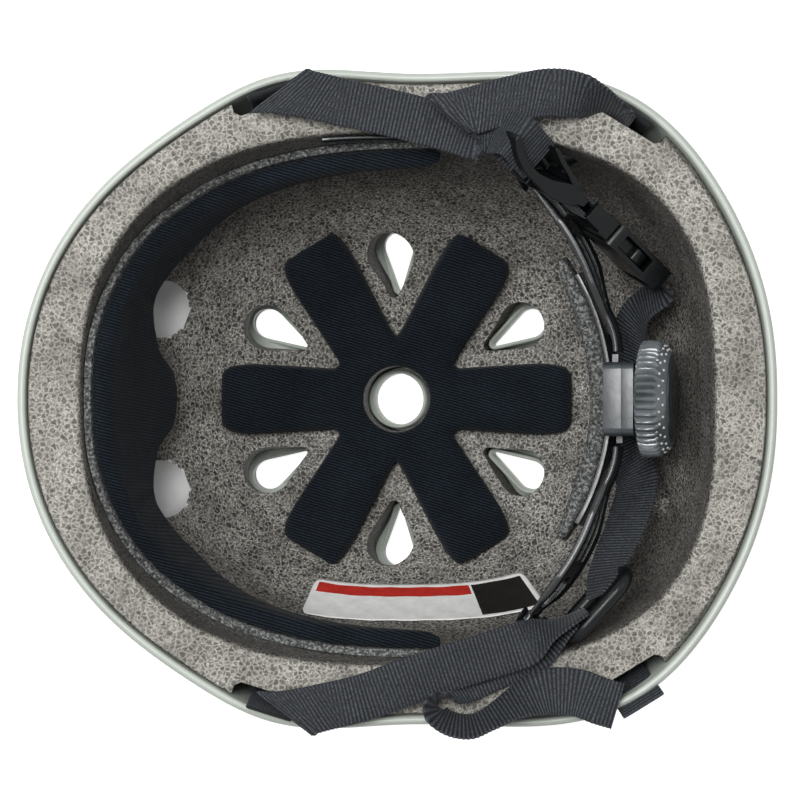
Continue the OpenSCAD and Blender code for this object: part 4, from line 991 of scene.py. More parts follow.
def puff(piece, voxel, cap):
    even = piece.modifiers.new("even", "REMESH")
    even.mode = "VOXEL"
    even.voxel_size = voxel * MM
    settle(piece)
    before = np.empty(len(piece.data.vertices) * 3)
    piece.data.vertices.foreach_get("co", before)
    cloth = piece.modifiers.new("swell", "CLOTH")
    cloth.settings.use_pressure = True
    cloth.settings.uniform_pressure_force = PRESSURE
    cloth.settings.effector_weights.gravity = 0
    for step in range(1, FRAMES + 1):
        bpy.context.scene.frame_set(step)
    swollen = piece.evaluated_get(bpy.context.evaluated_depsgraph_get())
    after = np.empty(len(before))
    swollen.data.vertices.foreach_get("co", after)
    piece.modifiers.clear()
    bpy.context.scene.frame_set(1)
    moved = (after - before).reshape(-1, 3)
    far = np.linalg.norm(moved, axis=1, keepdims=True)
    kept = before.reshape(-1, 3) + moved * np.minimum(1, cap * MM / np.maximum(far, 1e-9))
    piece.data.vertices.foreach_set("co", kept.ravel())
    piece.modifiers.new("finer", "SUBSURF").levels = 1
    settle(piece)
    shade(piece, 180)
    print(piece.name, "swelled by up to", round(float(far.max()) / MM, 2), "mm, kept to", cap)


print("padding ready")

# %% [markdown]
# ## Crown pad
# The pad is die-cut from a sheet of foam with the knit laminated on, so its petals have soft
# round shoulders and an even thickness. Each petal flares towards its end. The outline can be
# drawn as a distance from the middle for every angle. Points along the outline are spaced
# evenly, and each is joined to the hole by a row of points that lies on the floor of the liner.

# %% Petal outline
PETAL_LENGTH, PETAL_ROOT, PETAL_FLARE = 72.6, 11.7, 4.2
PAD_HOLE, PAD_THICK, PAD_GAP = 13.9, 7.0, 1.35
PAD_SPACING = 1.3


def petal_radius(turn):
    s, c = abs(math.sin(math.radians(turn))), math.cos(math.radians(turn))
    reach = PETAL_LENGTH
    for _ in range(12):
        half = PETAL_ROOT + PETAL_FLARE * reach * c / PETAL_LENGTH
        reach = ((s / half) ** 8 + (c / PETAL_LENGTH) ** 8) ** (-1 / 8)
    return reach


def evenly(outline, spacing):
    ring = outline + outline[:1]
    gone = [0.0]
    for p, q in zip(ring, ring[1:]):
        gone.append(gone[-1] + math.dist(p, q))
    stops = np.linspace(0, gone[-1], round(gone[-1] / spacing), endpoint=False)
    xs, ys = (np.interp(stops, gone, [p[axis] for p in ring]) for axis in (0, 1))
    return list(zip(xs, ys))


petal_line = [polar(60 * k + t / 4, petal_radius(t / 4), 0)[:2] for k in range(6) for t in range(-120, 120)]
pad_edge = evenly(petal_line, PAD_SPACING)
print("points along the pad's edge:", len(pad_edge))

# %% Crown pad form
def pad_section(edge):
    reach = edge - PAD_HOLE
    shoulder = 2.6
    rows = [(edge - 0.35, 0.5), (edge, 2.2), (edge - 0.25, 4.6), (edge - 0.9, 5.9), (edge - 2.0, 6.7)]
    top = [(edge - shoulder - (reach - 2 * shoulder) * k / 16, PAD_THICK) for k in range(17)]
    close = [(PAD_HOLE + 1.2, 6.6), (PAD_HOLE + 0.35, 5.6), (PAD_HOLE, 3.6), (PAD_HOLE + 0.4, 0.5)]
    under = [(PAD_HOLE + reach * k / 8, 0.0) for k in range(1, 8)]
    return rows + top + close + under


def pad_rise(r, edge, h):
    middle = max(0.0, 1 - abs(2 * (r - PAD_HOLE) / (edge - PAD_HOLE) - 1))
    return PAD_GAP + h + (0.5 * middle if h == PAD_THICK else 0)


pad_loops = []
for x, y in pad_edge:
    a, edge = math.degrees(math.atan2(y, x)), math.hypot(x, y)
    pad_loops.append([off_floor(a, r, pad_rise(r, edge, h)) for r, h in pad_section(edge)])
crown_pad = make_piece("crown_pad_fabric", *closed_round(pad_loops), pad_knit, "helmet", "pad_fabric",
                       sharp=180)
puff(crown_pad, voxel=1.6, cap=1.1)
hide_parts("crown_pad")
print("crown pad:", len(crown_pad.data.polygons), "faces")

# %% [markdown]
# ## Brow pad
# A curved pad of the same laminate lies round the front from ear to ear. It is widest at the
# forehead, where it reaches down in a bib, and narrows to rounded ends. The heights of its two
# edges are given at a few angles from straight ahead and joined by a smooth curve.

# %% Brow pad edges
BROW_SPAN, BROW_ROUND_END = 101, 6.0
BROW_TOP = [(0, 141), (10, 140), (24, 131), (44, 122), (65, 123), (90, 129), (102, 131)]
BROW_BOTTOM = [(0, 69), (7, 71), (12, 85), (22, 96), (38, 93), (65, 109), (90, 121), (102, 127)]
BLUR = 2.0


def soft_lookup(turn, table):
    spots = np.linspace(turn - 2 * BLUR, turn + 2 * BLUR, 9)
    weights = np.exp(-((spots - turn) / BLUR) ** 2)
    values = np.interp(np.abs(spots), [t for t, _ in table], [h for _, h in table])
    return float(np.sum(values * weights) / np.sum(weights))


def wall_pad(profile, trim):
    loops = []
    for a in range(180 - BROW_SPAN, 181 + BROW_SPAN):
        turn = abs(a - 180)
        low, high = soft_lookup(turn, BROW_BOTTOM) + trim, soft_lookup(turn, BROW_TOP) - trim
        left = (BROW_SPAN - turn) / BROW_ROUND_END
        pull = 1 - math.sqrt(max(0.0, 1 - max(0.0, 1 - left) ** 2)) if left < 1 else 0.0
        middle, half = (low + high) / 2, (high - low) / 2 * max(0.12, 1 - pull)
        thin = max(0.45, 1 - 0.5 * pull)
        loops.append([off_wall(a, middle + (2 * v - 1) * half, off * thin if off > 6 else off)
                      for off, v in profile])
    return capped(loops)


print("brow pad height at the forehead:", BROW_TOP[0][1] - BROW_BOTTOM[0][1], "mm")

# %% [markdown]
# The fabric pad has a round edge and a gently crowned face. The bare foam behind it is a flat
# strip that stands out a little all round. Each profile gives a distance off the wall and a
# share of the height.

# %% Brow pad and its bare foam
BROW_GAP, BROW_FOAM, BROW_THICK = 0.4, 2.7, 6.6


def brow_profile(back, thick):
    front = [(0.0, 0.0), (0.18, -0.004), (0.55, 0.004), (0.8, 0.025), (0.94, 0.065), (1.0, 0.13)]
    face = [(1.0 + 0.05 * math.sin(math.pi * v), v) for v in (0.22, 0.32, 0.42, 0.5, 0.58, 0.68, 0.78)]
    around_edge = front + face + [(x, 1 - v) for x, v in reversed(front)]
    return [(back + x * thick, v) for x, v in around_edge] + [(back, v) for v in (0.75, 0.5, 0.25)]


brow = make_piece("brow_pad_fabric", *wall_pad(brow_profile(BROW_GAP + BROW_FOAM + 0.3, BROW_THICK), 0.6),
                  pad_knit, "helmet", "pad_fabric", sharp=180)
puff(brow, voxel=1.6, cap=1.2)
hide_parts("brow_pad")
foam_face = BROW_GAP + BROW_FOAM
foam_profile = [(BROW_GAP, 0.0), (foam_face - 0.3, 0.0), (foam_face, 0.02), (foam_face, 0.25),
                (foam_face, 0.5), (foam_face, 0.75), (foam_face, 0.98), (foam_face - 0.3, 1.0),
                (BROW_GAP, 1.0), (BROW_GAP, 0.5)]
brow_foam = make_piece("brow_foam", *wall_pad(foam_profile, 0), cell_foam, "helmet", "pad_foam")
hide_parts("brow_pad_foam")
print("brow pad:", len(brow.data.polygons), "faces")

# %% [markdown]
# ## Label
# A vinyl label lies on the right wall. It has a white field with a red band along its lower
# edge and a dark field at its rear end, all inside a narrow white border, and stays bare: no
# words and no marks.

# %% Label fields
LABEL_A, LABEL_SPAN, LABEL_Z, LABEL_H, LABEL_ROUND = -84, 30, 76, 23, 3.0
LABEL_GAP, LABEL_RIPPLE, FILM, MM_PER_DEGREE = 0.6, 0.12, 0.3, 1.5
COLUMNS, ROWS, BORDER, BAND = 96, 27, 2, 6
DARK_FROM, BAND_TO = 0.76 * COLUMNS, 0.74 * COLUMNS


def label_field(column, row):
    inside = BORDER <= row < ROWS - BORDER and BORDER <= column < COLUMNS - BORDER
    if inside and column >= DARK_FROM:
        return 2
    return 1 if inside and row < BORDER + BAND and column < BAND_TO else 0


label_points = []
for k in range(COLUMNS + 1):
    a = LABEL_A + LABEL_SPAN * (2 * k / COLUMNS - 1)
    to_end = min(k, COLUMNS - k) * LABEL_SPAN * 2 / COLUMNS * MM_PER_DEGREE
    trim = max(0.0, LABEL_ROUND - to_end)
    half = LABEL_H / 2 - LABEL_ROUND + math.sqrt(LABEL_ROUND ** 2 - trim ** 2)
    for j in range(ROWS + 1):
        ripple = LABEL_RIPPLE * math.sin(k * 0.4) * math.sin(j * 0.5)
        label_points.append(off_wall(a, LABEL_Z + (2 * j / ROWS - 1) * half, LABEL_GAP + ripple))
label_faces, label_fields = [], []
for k in range(COLUMNS):
    for j in range(ROWS):
        i = k * (ROWS + 1) + j
        label_faces.append((i, i + ROWS + 1, i + ROWS + 2, i + 1))
        label_fields.append(label_field(k, j))
label = make_piece("label_film", label_points, label_faces, vinyl_white, "helmet", "label", sharp=180)
label.data.materials.append(vinyl_red)
label.data.materials.append(vinyl_dark)
for face, field in zip(label.data.polygons, label_fields):
    face.material_index = field
film = label.modifiers.new("film", "SOLIDIFY")
film.thickness = FILM * MM
settle(label)
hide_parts("blank_sticker")
print("label:", len(label.data.polygons), "faces")

# %% [markdown]
# ## Webbing
# A strap is a flat ribbon that bends and twists along a route. Its ribs run across it, one
# every 1.35 mm, and each rib bulges a little over the edge, which gives the scalloped selvedge.
# The route's points are joined by a smooth curve, and at each step a width direction is kept
# square to the route. Where a strap is folded diagonally its sections slant with that direction
# instead.

# %% Routes
WEB_W, WEB_T, RIB = 17, 1.5, 1.35
STEP = RIB / 4


def steps_between(points):
    points = [Vector(p) for p in points]
    return [max(2, round((q - p).length / STEP)) for p, q in zip(points, points[1:])]


def smooth_between(values, counts):
    values = [Vector(v) for v in values]
    path = []
    for i, count in enumerate(counts):
        a, b = values[max(i - 1, 0)], values[i]
        c, d = values[i + 1], values[min(i + 2, len(values) - 1)]
        for t in (k / count for k in range(count)):
            path.append(0.5 * (2 * b + (c - a) * t + (2 * a - 5 * b + 4 * c - d) * t * t
                               + (3 * b - a - 3 * c + d) * t ** 3))
    return path + [values[-1]]


print("webbing", WEB_W, "x", WEB_T, "mm")

# %% [markdown]
# The section of the webbing is a flat loop with soft corners. Each rib makes it a little wider
# and thicker, and the value that says how deep in a groove a point lies is stored beside it.

# %% Webbing maker
RISER_TOP, STRAP_OFF_SHELL = 151.2, 1.8
SELVEDGE, RIB_RISE, MOST_SLANT = 0.22, 0.3, 1.1
ACROSS = [(-1, 0), (-0.985, 0.62), (-0.93, 0.9), (-0.6, 1), (-0.2, 1), (0.2, 1), (0.6, 1), (0.93, 0.9),
          (0.985, 0.62)]
SECTION = ACROSS + [(-u, -v) for u, v in ACROSS]


def webbing(name, route, widths, body="helmet", thick=WEB_T, slanted=False):
    counts = steps_between(route)
    path, ways = smooth_between(route, counts), smooth_between(widths, counts)
    gone, loops, grooves = 0.0, [], []
    last = len(path) - 1
    for i, (p, w) in enumerate(zip(path, ways)):
        if i:
            gone += (p - path[i - 1]).length
        along = (path[min(i + 1, last)] - path[max(i - 1, 0)]).normalized()
        side = (w - along * w.dot(along)).normalized()
        face = along.cross(side)
        slant = max(-MOST_SLANT, min(MOST_SLANT, w.dot(along) / w.dot(side))) if slanted else 0.0
        loop = []
        for u, v in SECTION:
            ahead = WEB_W / 2 * u * slant
            rib = 0.5 + 0.5 * math.cos(math.tau * (gone + ahead) / RIB)
            half = WEB_W / 2 - SELVEDGE + SELVEDGE * rib
            deep = thick / 2 - RIB_RISE + RIB_RISE * rib
            loop.append(p + along * ahead + side * half * u + face * deep * v)
            grooves.append(1 - rib)
        loops.append(loop)
    piece = make_piece(name, *capped(loops), woven_strap, body, "webbing", sharp=70)
    piece.data.attributes.new("groove", "FLOAT", "POINT").data.foreach_set("value", grooves)
    return piece


def outward(a):
    heading = shell_heading(a)
    return Vector((math.cos(heading), math.sin(heading), 0))


def strap_start(a):
    return [shell_out(a, z) - (SHELL_WALL + STRAP_OFF_SHELL + WEB_T / 2) * outward(a)
            for z in (RIVET_HEIGHT - 7, RIVET_HEIGHT, RIVET_HEIGHT + 12)]


def rim_way(a):
    out = outward(a)
    return Vector((-out.y, out.x, 0))


print("webbing maker ready")

# %% [markdown]
# The left straps end at the divider, which is one with the buckle's plug. When the plug slides out they have
# to follow it; here they are attached to no body.

# %% Buckle directions
BUCKLE_AT = Vector((94.3, 45.3, 118))
buckle_turn, buckle_rise = math.radians(139), math.radians(28.5)
buckle_spin = (Matrix.Rotation(buckle_turn, 4, "Z") @ Matrix.Rotation(-buckle_rise, 4, "Y")
               @ Matrix.Rotation(math.radians(90), 4, "X"))
buckle_place = Matrix.Translation(BUCKLE_AT) @ buckle_spin


def on_buckle(x, y, z):
    return buckle_place @ Vector((x, y, z))


buckle_up = on_buckle(0, 1, 0) - BUCKLE_AT
buckle_out = on_buckle(0, 0, 1) - BUCKLE_AT
DIVIDER_BAR, DIVIDER_WIDTH = 48.7, 25
BAR_TO_EDGE, DIVIDER_LENGTH, STRAP_PAST_END = 1.5, 28, 0.5
DIVIDER_END = DIVIDER_BAR - BAR_TO_EDGE + DIVIDER_LENGTH + STRAP_PAST_END


def divider_end(away, half):
    return on_buckle(DIVIDER_END + away, half * DIVIDER_WIDTH / 4, 0)


print("divider's end at", [round(c, 1) for c in divider_end(0, 1)])

# %% [markdown]
# Each strap climbs out of its pocket edge-on to the rim and then folds flat over it. The part
# below the fold is a riser, a short length of the same webbing from the rivet up to the flat
# strap. The risers on the right lean outward a little.

# %% Risers
RISER_LEAN = {"front_right": 2, "rear_right": 8}

for name, a in STRAPS.items():
    foot = strap_start(a)
    head = foot[-1] + RISER_LEAN.get(name, 0) * outward(a)
    webbing("webbing_riser_" + name, foot + [Vector((head.x, head.y, RISER_TOP))], [rim_way(a)] * 4)
print("risers:", len(STRAPS))

# %% [markdown]
# The front strap on the left runs low into the divider. The rear one starts on edge, crosses
# over it, turns back in a fold and comes in above it.

# %% Straps on the left
strap_front_left = webbing(
    "webbing_front_left",
    [(-42, 108.8, 152.6), (-37, 108.4, 152.4), (-28, 107, 151), (-18, 105, 149.4), (1, 101, 147.4),
     (18, 96.6, 147), (30, 93, 149.3), divider_end(8, -1), divider_end(0, -1), divider_end(-6, -0.8)],
    [(0.8, 0.62, 0), (0.72, 0.7, 0), (0.5, 0.85, 0), (0.3, 1, 0), (0.2, 1, 0), (0.2, 1, 0), (0.3, 1, 0),
     buckle_out, buckle_out, buckle_out], body=None, slanted=True)
strap_rear_left = webbing(
    "webbing_rear_left",
    [(82.5, 97, 147), (80, 100.8, 150), (75.5, 103.8, 152), (70.5, 105.6, 154), (63.8, 106.8, 156),
     (52.2, 107.5, 156.4), (38.2, 104.5, 156.2), (28.5, 101.8, 156.3), (20.5, 99.6, 156.3),
     (18.9, 98.9, 155), (20.5, 99, 153.7), (27, 98, 153), (34, 95, 153.6), divider_end(8, 1),
     divider_end(0, 1), divider_end(-6, 0.8)],
    [(0.1, 0.15, 1), (0.1, 0.15, 1), (0.1, 0.25, 0.95), (0.1, 0.5, 0.85), (0.1, 0.85, 0.5), (0.15, 1, 0),
     (0.24, 0.97, 0), (0, 1, 0), (-0.76, 0.65, 0), (-0.76, 0.65, 0), (-0.76, 0.65, 0), (-0.3, 0.95, 0),
     (0.2, 0.95, 0), buckle_out, buckle_out, buckle_out], body=None, slanted=True)
print("left straps:", len(strap_front_left.data.polygons) + len(strap_rear_left.data.polygons), "faces")

# %% [markdown]
# On the right both straps come down into the ring of the divider and turn edge-on there.

# %% Straps on the right
strap_front_right = webbing(
    "webbing_front_right",
    [(-40, -111, 152.6), (-35, -110.6, 152.4), (-26, -109, 151.2), (-12, -105.8, 150), (4, -100.2, 149.8),
     (20, -94.8, 150.2), (34, -90.4, 150), (43, -87.6, 149.5), (49, -85.3, 148.8), (55, -82.2, 147.5),
     (62, -79, 145.5), (68, -76, 143)],
    [(0.8, -0.62, 0), (0.72, -0.7, 0), (0.5, -0.85, 0), (0.3, -1, 0), (0.3, -1, 0), (0.3, -1, 0),
     (0.3, -1, 0), (0.3, -1, 0.12), (0.2, -0.7, 0.6), (0.05, -0.3, 0.95), (0, -0.1, 1), (0, 0, 1)],
    slanted=True)
strap_rear_right = webbing(
    "webbing_rear_right",
    [(78, -108.4, 152.8), (72, -106.6, 152.8), (63, -103.6, 152), (52.5, -103.5, 152), (42.6, -107, 153),
     (33, -112.5, 153.8), (26, -115.3, 154), (18.9, -114.3, 154), (14, -110.7, 153.6), (13.8, -106.5, 152),
     (18, -103, 149), (26, -99, 146.4), (38, -94, 146.2), (46, -90.5, 146), (52, -87, 145), (58, -83, 143.5),
     (64, -79.5, 142), (69, -77.5, 141)],
    [(-0.8, -0.6, 0), (-0.6, -0.8, 0), (-0.15, -1, 0.1), (0.05, -0.9, 0.4), (0.1, -0.55, 0.8),
     (0.05, -0.35, 0.93), (0, -0.35, 0.93), (-0.1, -0.35, 0.93), (-0.3, -0.3, 0.9), (-0.3, -0.4, 0.85),
     (-0.1, -0.7, 0.7), (0.15, -0.95, 0.2), (0.2, -1, 0), (0.3, -1, 0.1), (0.2, -0.7, 0.6),
     (0.1, -0.35, 0.93), (0, -0.1, 1), (0, 0, 1)])
print("right straps:", len(strap_front_right.data.polygons) + len(strap_rear_right.data.polygons), "faces")

# %% [markdown]
# Each strap takes the place of its CAD solid, which is hidden. The left ones have their place baked into
# their points.

# %% The straps take the place of their CAD solids
for piece, node in ((strap_front_left, "strap_front_left"), (strap_rear_left, "strap_rear_left"),
                    (strap_front_right, "strap_front_right"), (strap_rear_right, "strap_rear_right")):
    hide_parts(node)
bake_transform(strap_front_left)
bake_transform(strap_rear_left)
print("straps that bend:", strap_front_left.name, strap_rear_left.name)

# %% [markdown]
# The chin webbing hangs from the buckle's socket under the cradle to the ring on the right. A
# short loop of the same webbing ties the plug to the left divider, round one bar of each.

# %% Chin webbing and short loop
middle_way = (0.7, 0, 0.7)
chin_webbing = webbing(
    "webbing_chin",
    [on_buckle(-1.5, 0, 0), on_buckle(-7, 0, -0.5), (90.6, 32, 106), (87.5, 18, 97), (86, 0, 93),
     (88, -19, 96.5), (90.5, -30, 106), (88, -39, 115), (83.5, -48, 124), (78.5, -57, 132),
     (74, -65, 138), (71, -71, 140.5)],
    [buckle_up, buckle_up, (0.5, -0.1, 0.85), middle_way, middle_way, (0.68, -0.15, 0.7),
     (0.62, -0.22, 0.7), (0.56, -0.3, 0.75), (0.52, -0.3, 0.8), (0.45, -0.28, 0.85), (0.3, -0.2, 0.93),
     (0.1, -0.05, 1)])
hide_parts("chin_webbing")

PLUG_BAR, LOOP_RADIUS, LOOP_THICK = 40.9, 2.35, 1.3
loop_turns = [(DIVIDER_BAR, a) for a in range(-90, 91, 30)] + [(PLUG_BAR, a) for a in range(90, 271, 30)]
loop_route = [on_buckle(x + LOOP_RADIUS * math.cos(math.radians(a)), 0,
                        LOOP_RADIUS * math.sin(math.radians(a))) for x, a in loop_turns]
loop_route.append(loop_route[0])
short_loop = webbing("webbing_short_loop", loop_route, [buckle_up] * len(loop_route), body="plug",
                     thick=LOOP_THICK)
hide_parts("chin_webbing_short")
print("chin webbing:", len(chin_webbing.data.polygons) + len(short_loop.data.polygons), "faces")

# %% [markdown]
# ## Moulded parts with softened edges
# Real mouldings have no razor edges: each edge carries a radius of a few tenths of a
# millimetre, and that radius is what catches the light. The CAD solids of these parts have the
# right shape, so each is copied, its flat faces are merged, and its sharp edges are bevelled.

# %% Softened copies
SAME_POINT, FLAT, SHARP, FULLNESS = 1e-6, math.radians(1.0), math.radians(28), 0.6


def moulded(name, source, radius, material, body, node, steps=2):
    form = bmesh.new()
    form.from_mesh(source.data)
    bmesh.ops.remove_doubles(form, verts=form.verts, dist=SAME_POINT)
    bmesh.ops.dissolve_limit(form, angle_limit=FLAT, verts=form.verts, edges=form.edges)
    edges = [e for e in form.edges if len(e.link_faces) == 2 and e.calc_face_angle(0) > SHARP]
    bmesh.ops.bevel(form, geom=edges, offset=radius * MM, segments=steps, profile=FULLNESS, affect="EDGES",
                    clamp_overlap=True)
    piece = dress(object_of(form, name), material, body, 50)
    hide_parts(node)


bodies = frame["record"]["behaviour"]["bodies"]
body_of_node = {node: body for body, nodes in bodies.items() for node in nodes}


def softened(node, radius, material, steps=2):
    source = frame["nodes"][node]
    moulded(node + "_moulded", source, radius, material, body_of_node[node], node, steps)


print("softening ready")

# %% Cradle and buckle
for node, radius in (("nape_band", 0.5), ("arm_anchors", 0.35), ("arm_pins", 0.35), ("front_band_end", 0.3)):
    softened(node, radius, black_nylon)
for node, radius in (("buckle_socket", 0.9), ("buckle_plug", 0.5), ("prong_upper", 0.6),
                     ("prong_lower", 0.6)):
    softened(node, radius, black_acetal, steps=3)
for node in ("housing_front", "housing_back"):
    softened(node, 0.8, smoke_carbonate, steps=3)
print("softened mouldings made")

# %% [markdown]
# The arms are long flat strips that the mould made straight. On the helmet they bow outward and
# twist a little, so between the housing and the temple their faces turn up towards the light.
# Each arm is a channel section with beaded edges, carried from the bend at the housing to the
# rounded end, and turned about its upper edge on the way. Its slots are cut last.

# %% Arm sections
ARM_HALF, ARM_TWIST, ARM_BOW, ARM_END, ARM_START = 9.5, 6, 3.3, 6.3, -14.7
TWIST_IN, TWIST_OUT = (3, 20), (42, 55)
FULL_IN, FULL_OUT, THIN, FULL_GAIN = (0, 6), (45, 52), 0.7, 0.3
ARM_SLOTS = [(36.5, 52.6, 7, 0), (54.6, 61.4, 5.0, 0), (3, 31, 4, -3.2), (3, 31, 4, 3.2)]


def arm_spot(side, x, y, z):
    twist = math.radians(ARM_TWIST) * eased(*TWIST_IN, y) * (1 - eased(*TWIST_OUT, y))
    bow = ARM_BOW * math.sin(math.pi * min(1.0, max(0.0, y / ARM_LENGTH))) ** 1.3
    drop = ARM_HALF - z
    at = Vector((x + bow + drop * math.sin(twist), max(0.0, y), z + drop * (1 - math.cos(twist))))
    return tuple(arm_frame(side, ARM_TURN + math.degrees(min(0.0, y) / ARM_BEND)) @ at)


def arm_half(y):
    if y > 56:
        return math.sqrt(max(0.2, ARM_END ** 2 - (y - ARM_LENGTH) ** 2))
    return float(np.interp(y, [-0.1, 12, 38, 56], [7, ARM_HALF, ARM_HALF, 6]))


def arm_full(y):
    return THIN + FULL_GAIN * eased(*FULL_IN, y) * (1 - eased(*FULL_OUT, y))


def arm_section(half):
    outer = [(0.5, half), (1.2, half - 0.25), (1.5, half - 0.8), (1.35, half - 1.4), (0.85, half - 1.9),
             (0.85, half * 0.3)]
    right = outer + [(x, -z) for x, z in reversed(outer)]
    return right + [(-x, z) for x, z in reversed(right)]


def arm_slot(side, low, high, tall, middle):
    loops = []
    for k in range(41):
        y = low + (high - low) * 0.5 * (1 - math.cos(math.pi * k / 40))
        end = max(0.0, tall / 2 - min(y - low, high - y))
        half = max(0.15, math.sqrt(max(0.0, (tall / 2) ** 2 - end ** 2)))
        loops.append([arm_spot(side, x, y, middle + z)
                      for x, z in ((-4, -half), (4, -half), (4, half), (-4, half))])
    return form_only("slot", *capped(loops))


print("slots in each arm:", len(ARM_SLOTS))

# %% [markdown]
# The sections follow each other every millimetre, and round the end they follow a half circle.

# %% Two arms
arm_end = [ARM_LENGTH + ARM_END * math.sin(math.radians(a)) for a in range(-10, 89, 7)]
arm_ys = [ARM_START] + list(range(-14, 57)) + arm_end
for node, side in (("arm_left", 1), ("arm_right", -1)):
    loops = [[arm_spot(side, x * arm_full(y), y, z) for x, z in arm_section(arm_half(y))] for y in arm_ys]
    arm = make_piece(node + "_twisted", *capped(loops), black_nylon, body_of_node[node], "moulded_black",
                     sharp=30)
    cut_away(arm, [arm_slot(side, *slot) for slot in ARM_SLOTS], sharp=30)
    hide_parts(node)
    print(arm.name, len(arm.data.polygons), "faces")

# %% [markdown]
# ## Strap dividers
# The left divider is a fork that grips both straps between a wide arm and a thin one. Both arms
# are outlines in the buckle's long section, as deep as the divider is wide, with windows cut
# through them for the webbing.

# %% Left divider
WIDE_ARM = [(47.4, -1.4), (47.4, 1.2), (50.1, 1.8), (54, 2.4), (58, 0.9), (63, -2.2), (69, -4.0),
            (74, -4.2), (78.5, -3), (82.5, -0.6), (84.4, 0.6), (85.4, -0.2), (85, -1.8), (82.5, -4),
            (79, -5.8), (74.5, -7.2), (69, -7.6), (62, -7.6), (56, -6.4), (51.5, -4.2), (50.1, -2.6)]
THIN_ARM = [(52.4, 1.2), (53, 2.8), (58, 4.0), (64, 5.2), (69.5, 6.8), (71, 6.6), (70.9, 5.7),
            (66, 3.9), (60, 2.5), (56, 1)]
DIVIDER_HALF, WINDOW_HALF, FORK_SOFT = 12.2, 9.1, 1.1


def slab(name, outline, half):
    loops = [[tuple(on_buckle(x, y, z)) for x, z in outline] for y in (-half, half)]
    return form_only(name, *capped(loops))


def fork_arm(name, outline, windows):
    arm = slab(name + "_form", outline, DIVIDER_HALF)
    cut_away(arm, [slab("window", [(a, -14), (b, -14), (b, 14), (a, 14)], WINDOW_HALF) for a, b in windows])
    moulded(name, arm, FORK_SOFT, black_acetal, "plug", "strap_divider_left", steps=4)
    bpy.data.objects.remove(arm)


fork_arm("divider_left_wide_arm", WIDE_ARM, [(50.4, 55), (60, 73.5)])
fork_arm("divider_left_thin_arm", THIN_ARM, [(57.5, 63.5)])
print("left divider made")

# %% [markdown]
# The right divider is a heavy oval ring with two bars, and leans outward on its webbing.

# %% Right divider
RING_LONG, RING_HIGH, RING_CORNER = 15, 9, 7.5
RING_WIDE, RING_DEEP, RING_TURN, RING_LEAN = 2.9, 2.8, 48, 9
BAR_AT, BAR_HALF, BAR_WIDE, BAR_DEEP = 5.5, 9.4, 1.5, 1.3
ring_place = (Matrix.Translation((71.5, -73.5, 140)) @ Matrix.Rotation(math.radians(RING_TURN), 4, "Z")
              @ Matrix(((1, 0, 0, 0), (0, 0, 1, 0), (0, 1, 0, 0), (0, 0, 0, 1)))
              @ Matrix.Rotation(math.radians(-RING_LEAN), 4, "X"))
ring_loops = []
for a in full_turn(64):
    corner = Vector((math.copysign(RING_LONG - RING_CORNER, math.cos(a)),
                     math.copysign(RING_HIGH - RING_CORNER, math.sin(a)), 0))
    out = Vector((math.cos(a), math.sin(a), 0))
    middle = corner + RING_CORNER * out
    ring_loops.append([tuple(ring_place @ (middle + out * RING_WIDE * math.cos(b)
                                           + Vector((0, 0, RING_DEEP * math.sin(b)))))
                       for b in full_turn(14)])
divider_ring = make_piece("divider_right_ring", *closed_round(ring_loops), black_acetal, "helmet",
                          "moulded_black", sharp=180)
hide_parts("strap_divider_right")
for k, x in enumerate((-BAR_AT, BAR_AT)):
    bar = [[tuple(ring_place @ Vector((x + BAR_WIDE * math.cos(b), y, BAR_DEEP * math.sin(b))))
            for b in full_turn(12)] for y in (-BAR_HALF, BAR_HALF)]
    make_piece(f"divider_right_bar_{k}", *capped(bar), black_acetal, "helmet", "moulded_black")
print("right divider:", len(divider_ring.data.polygons), "faces")

# %% [markdown]
# ## Dial
# The dial is turned round its axis: a grip of rounded ridges, a chamfer with two staggered rows
# of small pips, a lip, and a smooth darker cap with one raised ring. All of it is drawn along
# the dial's own axis, which leans with the cradle.

# %% Dial
DIAL_RIDGES, RIDGE_DEPTH = 46, 2.0
GRIP = [(12, 0.05, 0), (20.0, 0.05, 0), (20.9, 0.5, 0.5), (21.4, 1.1, 1), (21.5, 4, 1), (21.3, 6.8, 1),
        (20.9, 7.5, 0.6), (20.2, 8.1, 0.1), (18.8, 9.5, 0), (17.4, 10.8, 0), (17.0, 11.2, 0),
        (16.6, 11.4, 0), (16.1, 11.4, 0), (15.75, 11.1, 0), (15.7, 9.9, 0)]
CAP = [(3, 9.95, 0), (15.1, 9.95, 0), (15.5, 10.4, 0), (15.5, 11.2, 0), (15.2, 11.7, 0), (14.5, 11.95, 0),
       (9.8, 12.0, 0), (9.4, 12.2, 0), (8.9, 12.28, 0), (8.4, 12.2, 0), (8.0, 12.0, 0), (2, 11.95, 0)]
dial_place = Matrix.Translation((90, 0, 124)) @ Matrix.Rotation(math.radians(90 - CRADLE_LEAN), 4, "Y")


def on_dial(a, r, z):
    return dial_place @ Vector((r * math.cos(a), r * math.sin(a), z))


def turned(name, profile, material, around, ridges=0):
    loops = []
    for r, z, share in profile:
        loops.append([tuple(on_dial(a, r - share * RIDGE_DEPTH * (1 - abs(math.cos(ridges * a / 2))), z))
                      for a in full_turn(around)])
    return make_piece(name, *capped(loops), material, "dial", "smoke", sharp=32)


knob = turned("dial_grip", GRIP, grip_carbonate, around=DIAL_RIDGES * 8, ridges=DIAL_RIDGES)
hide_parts("dial_knob")
cap = turned("dial_cap_smooth", CAP, dark_carbonate, around=96)
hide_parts("dial_cap")
print("dial:", len(knob.data.polygons), "faces on the grip")

# %% Pips
PIPS, PIP_RADIUS = 26, 0.55
PIP_ROWS = [(19.5, 8.85), (18.2, 10.1)]

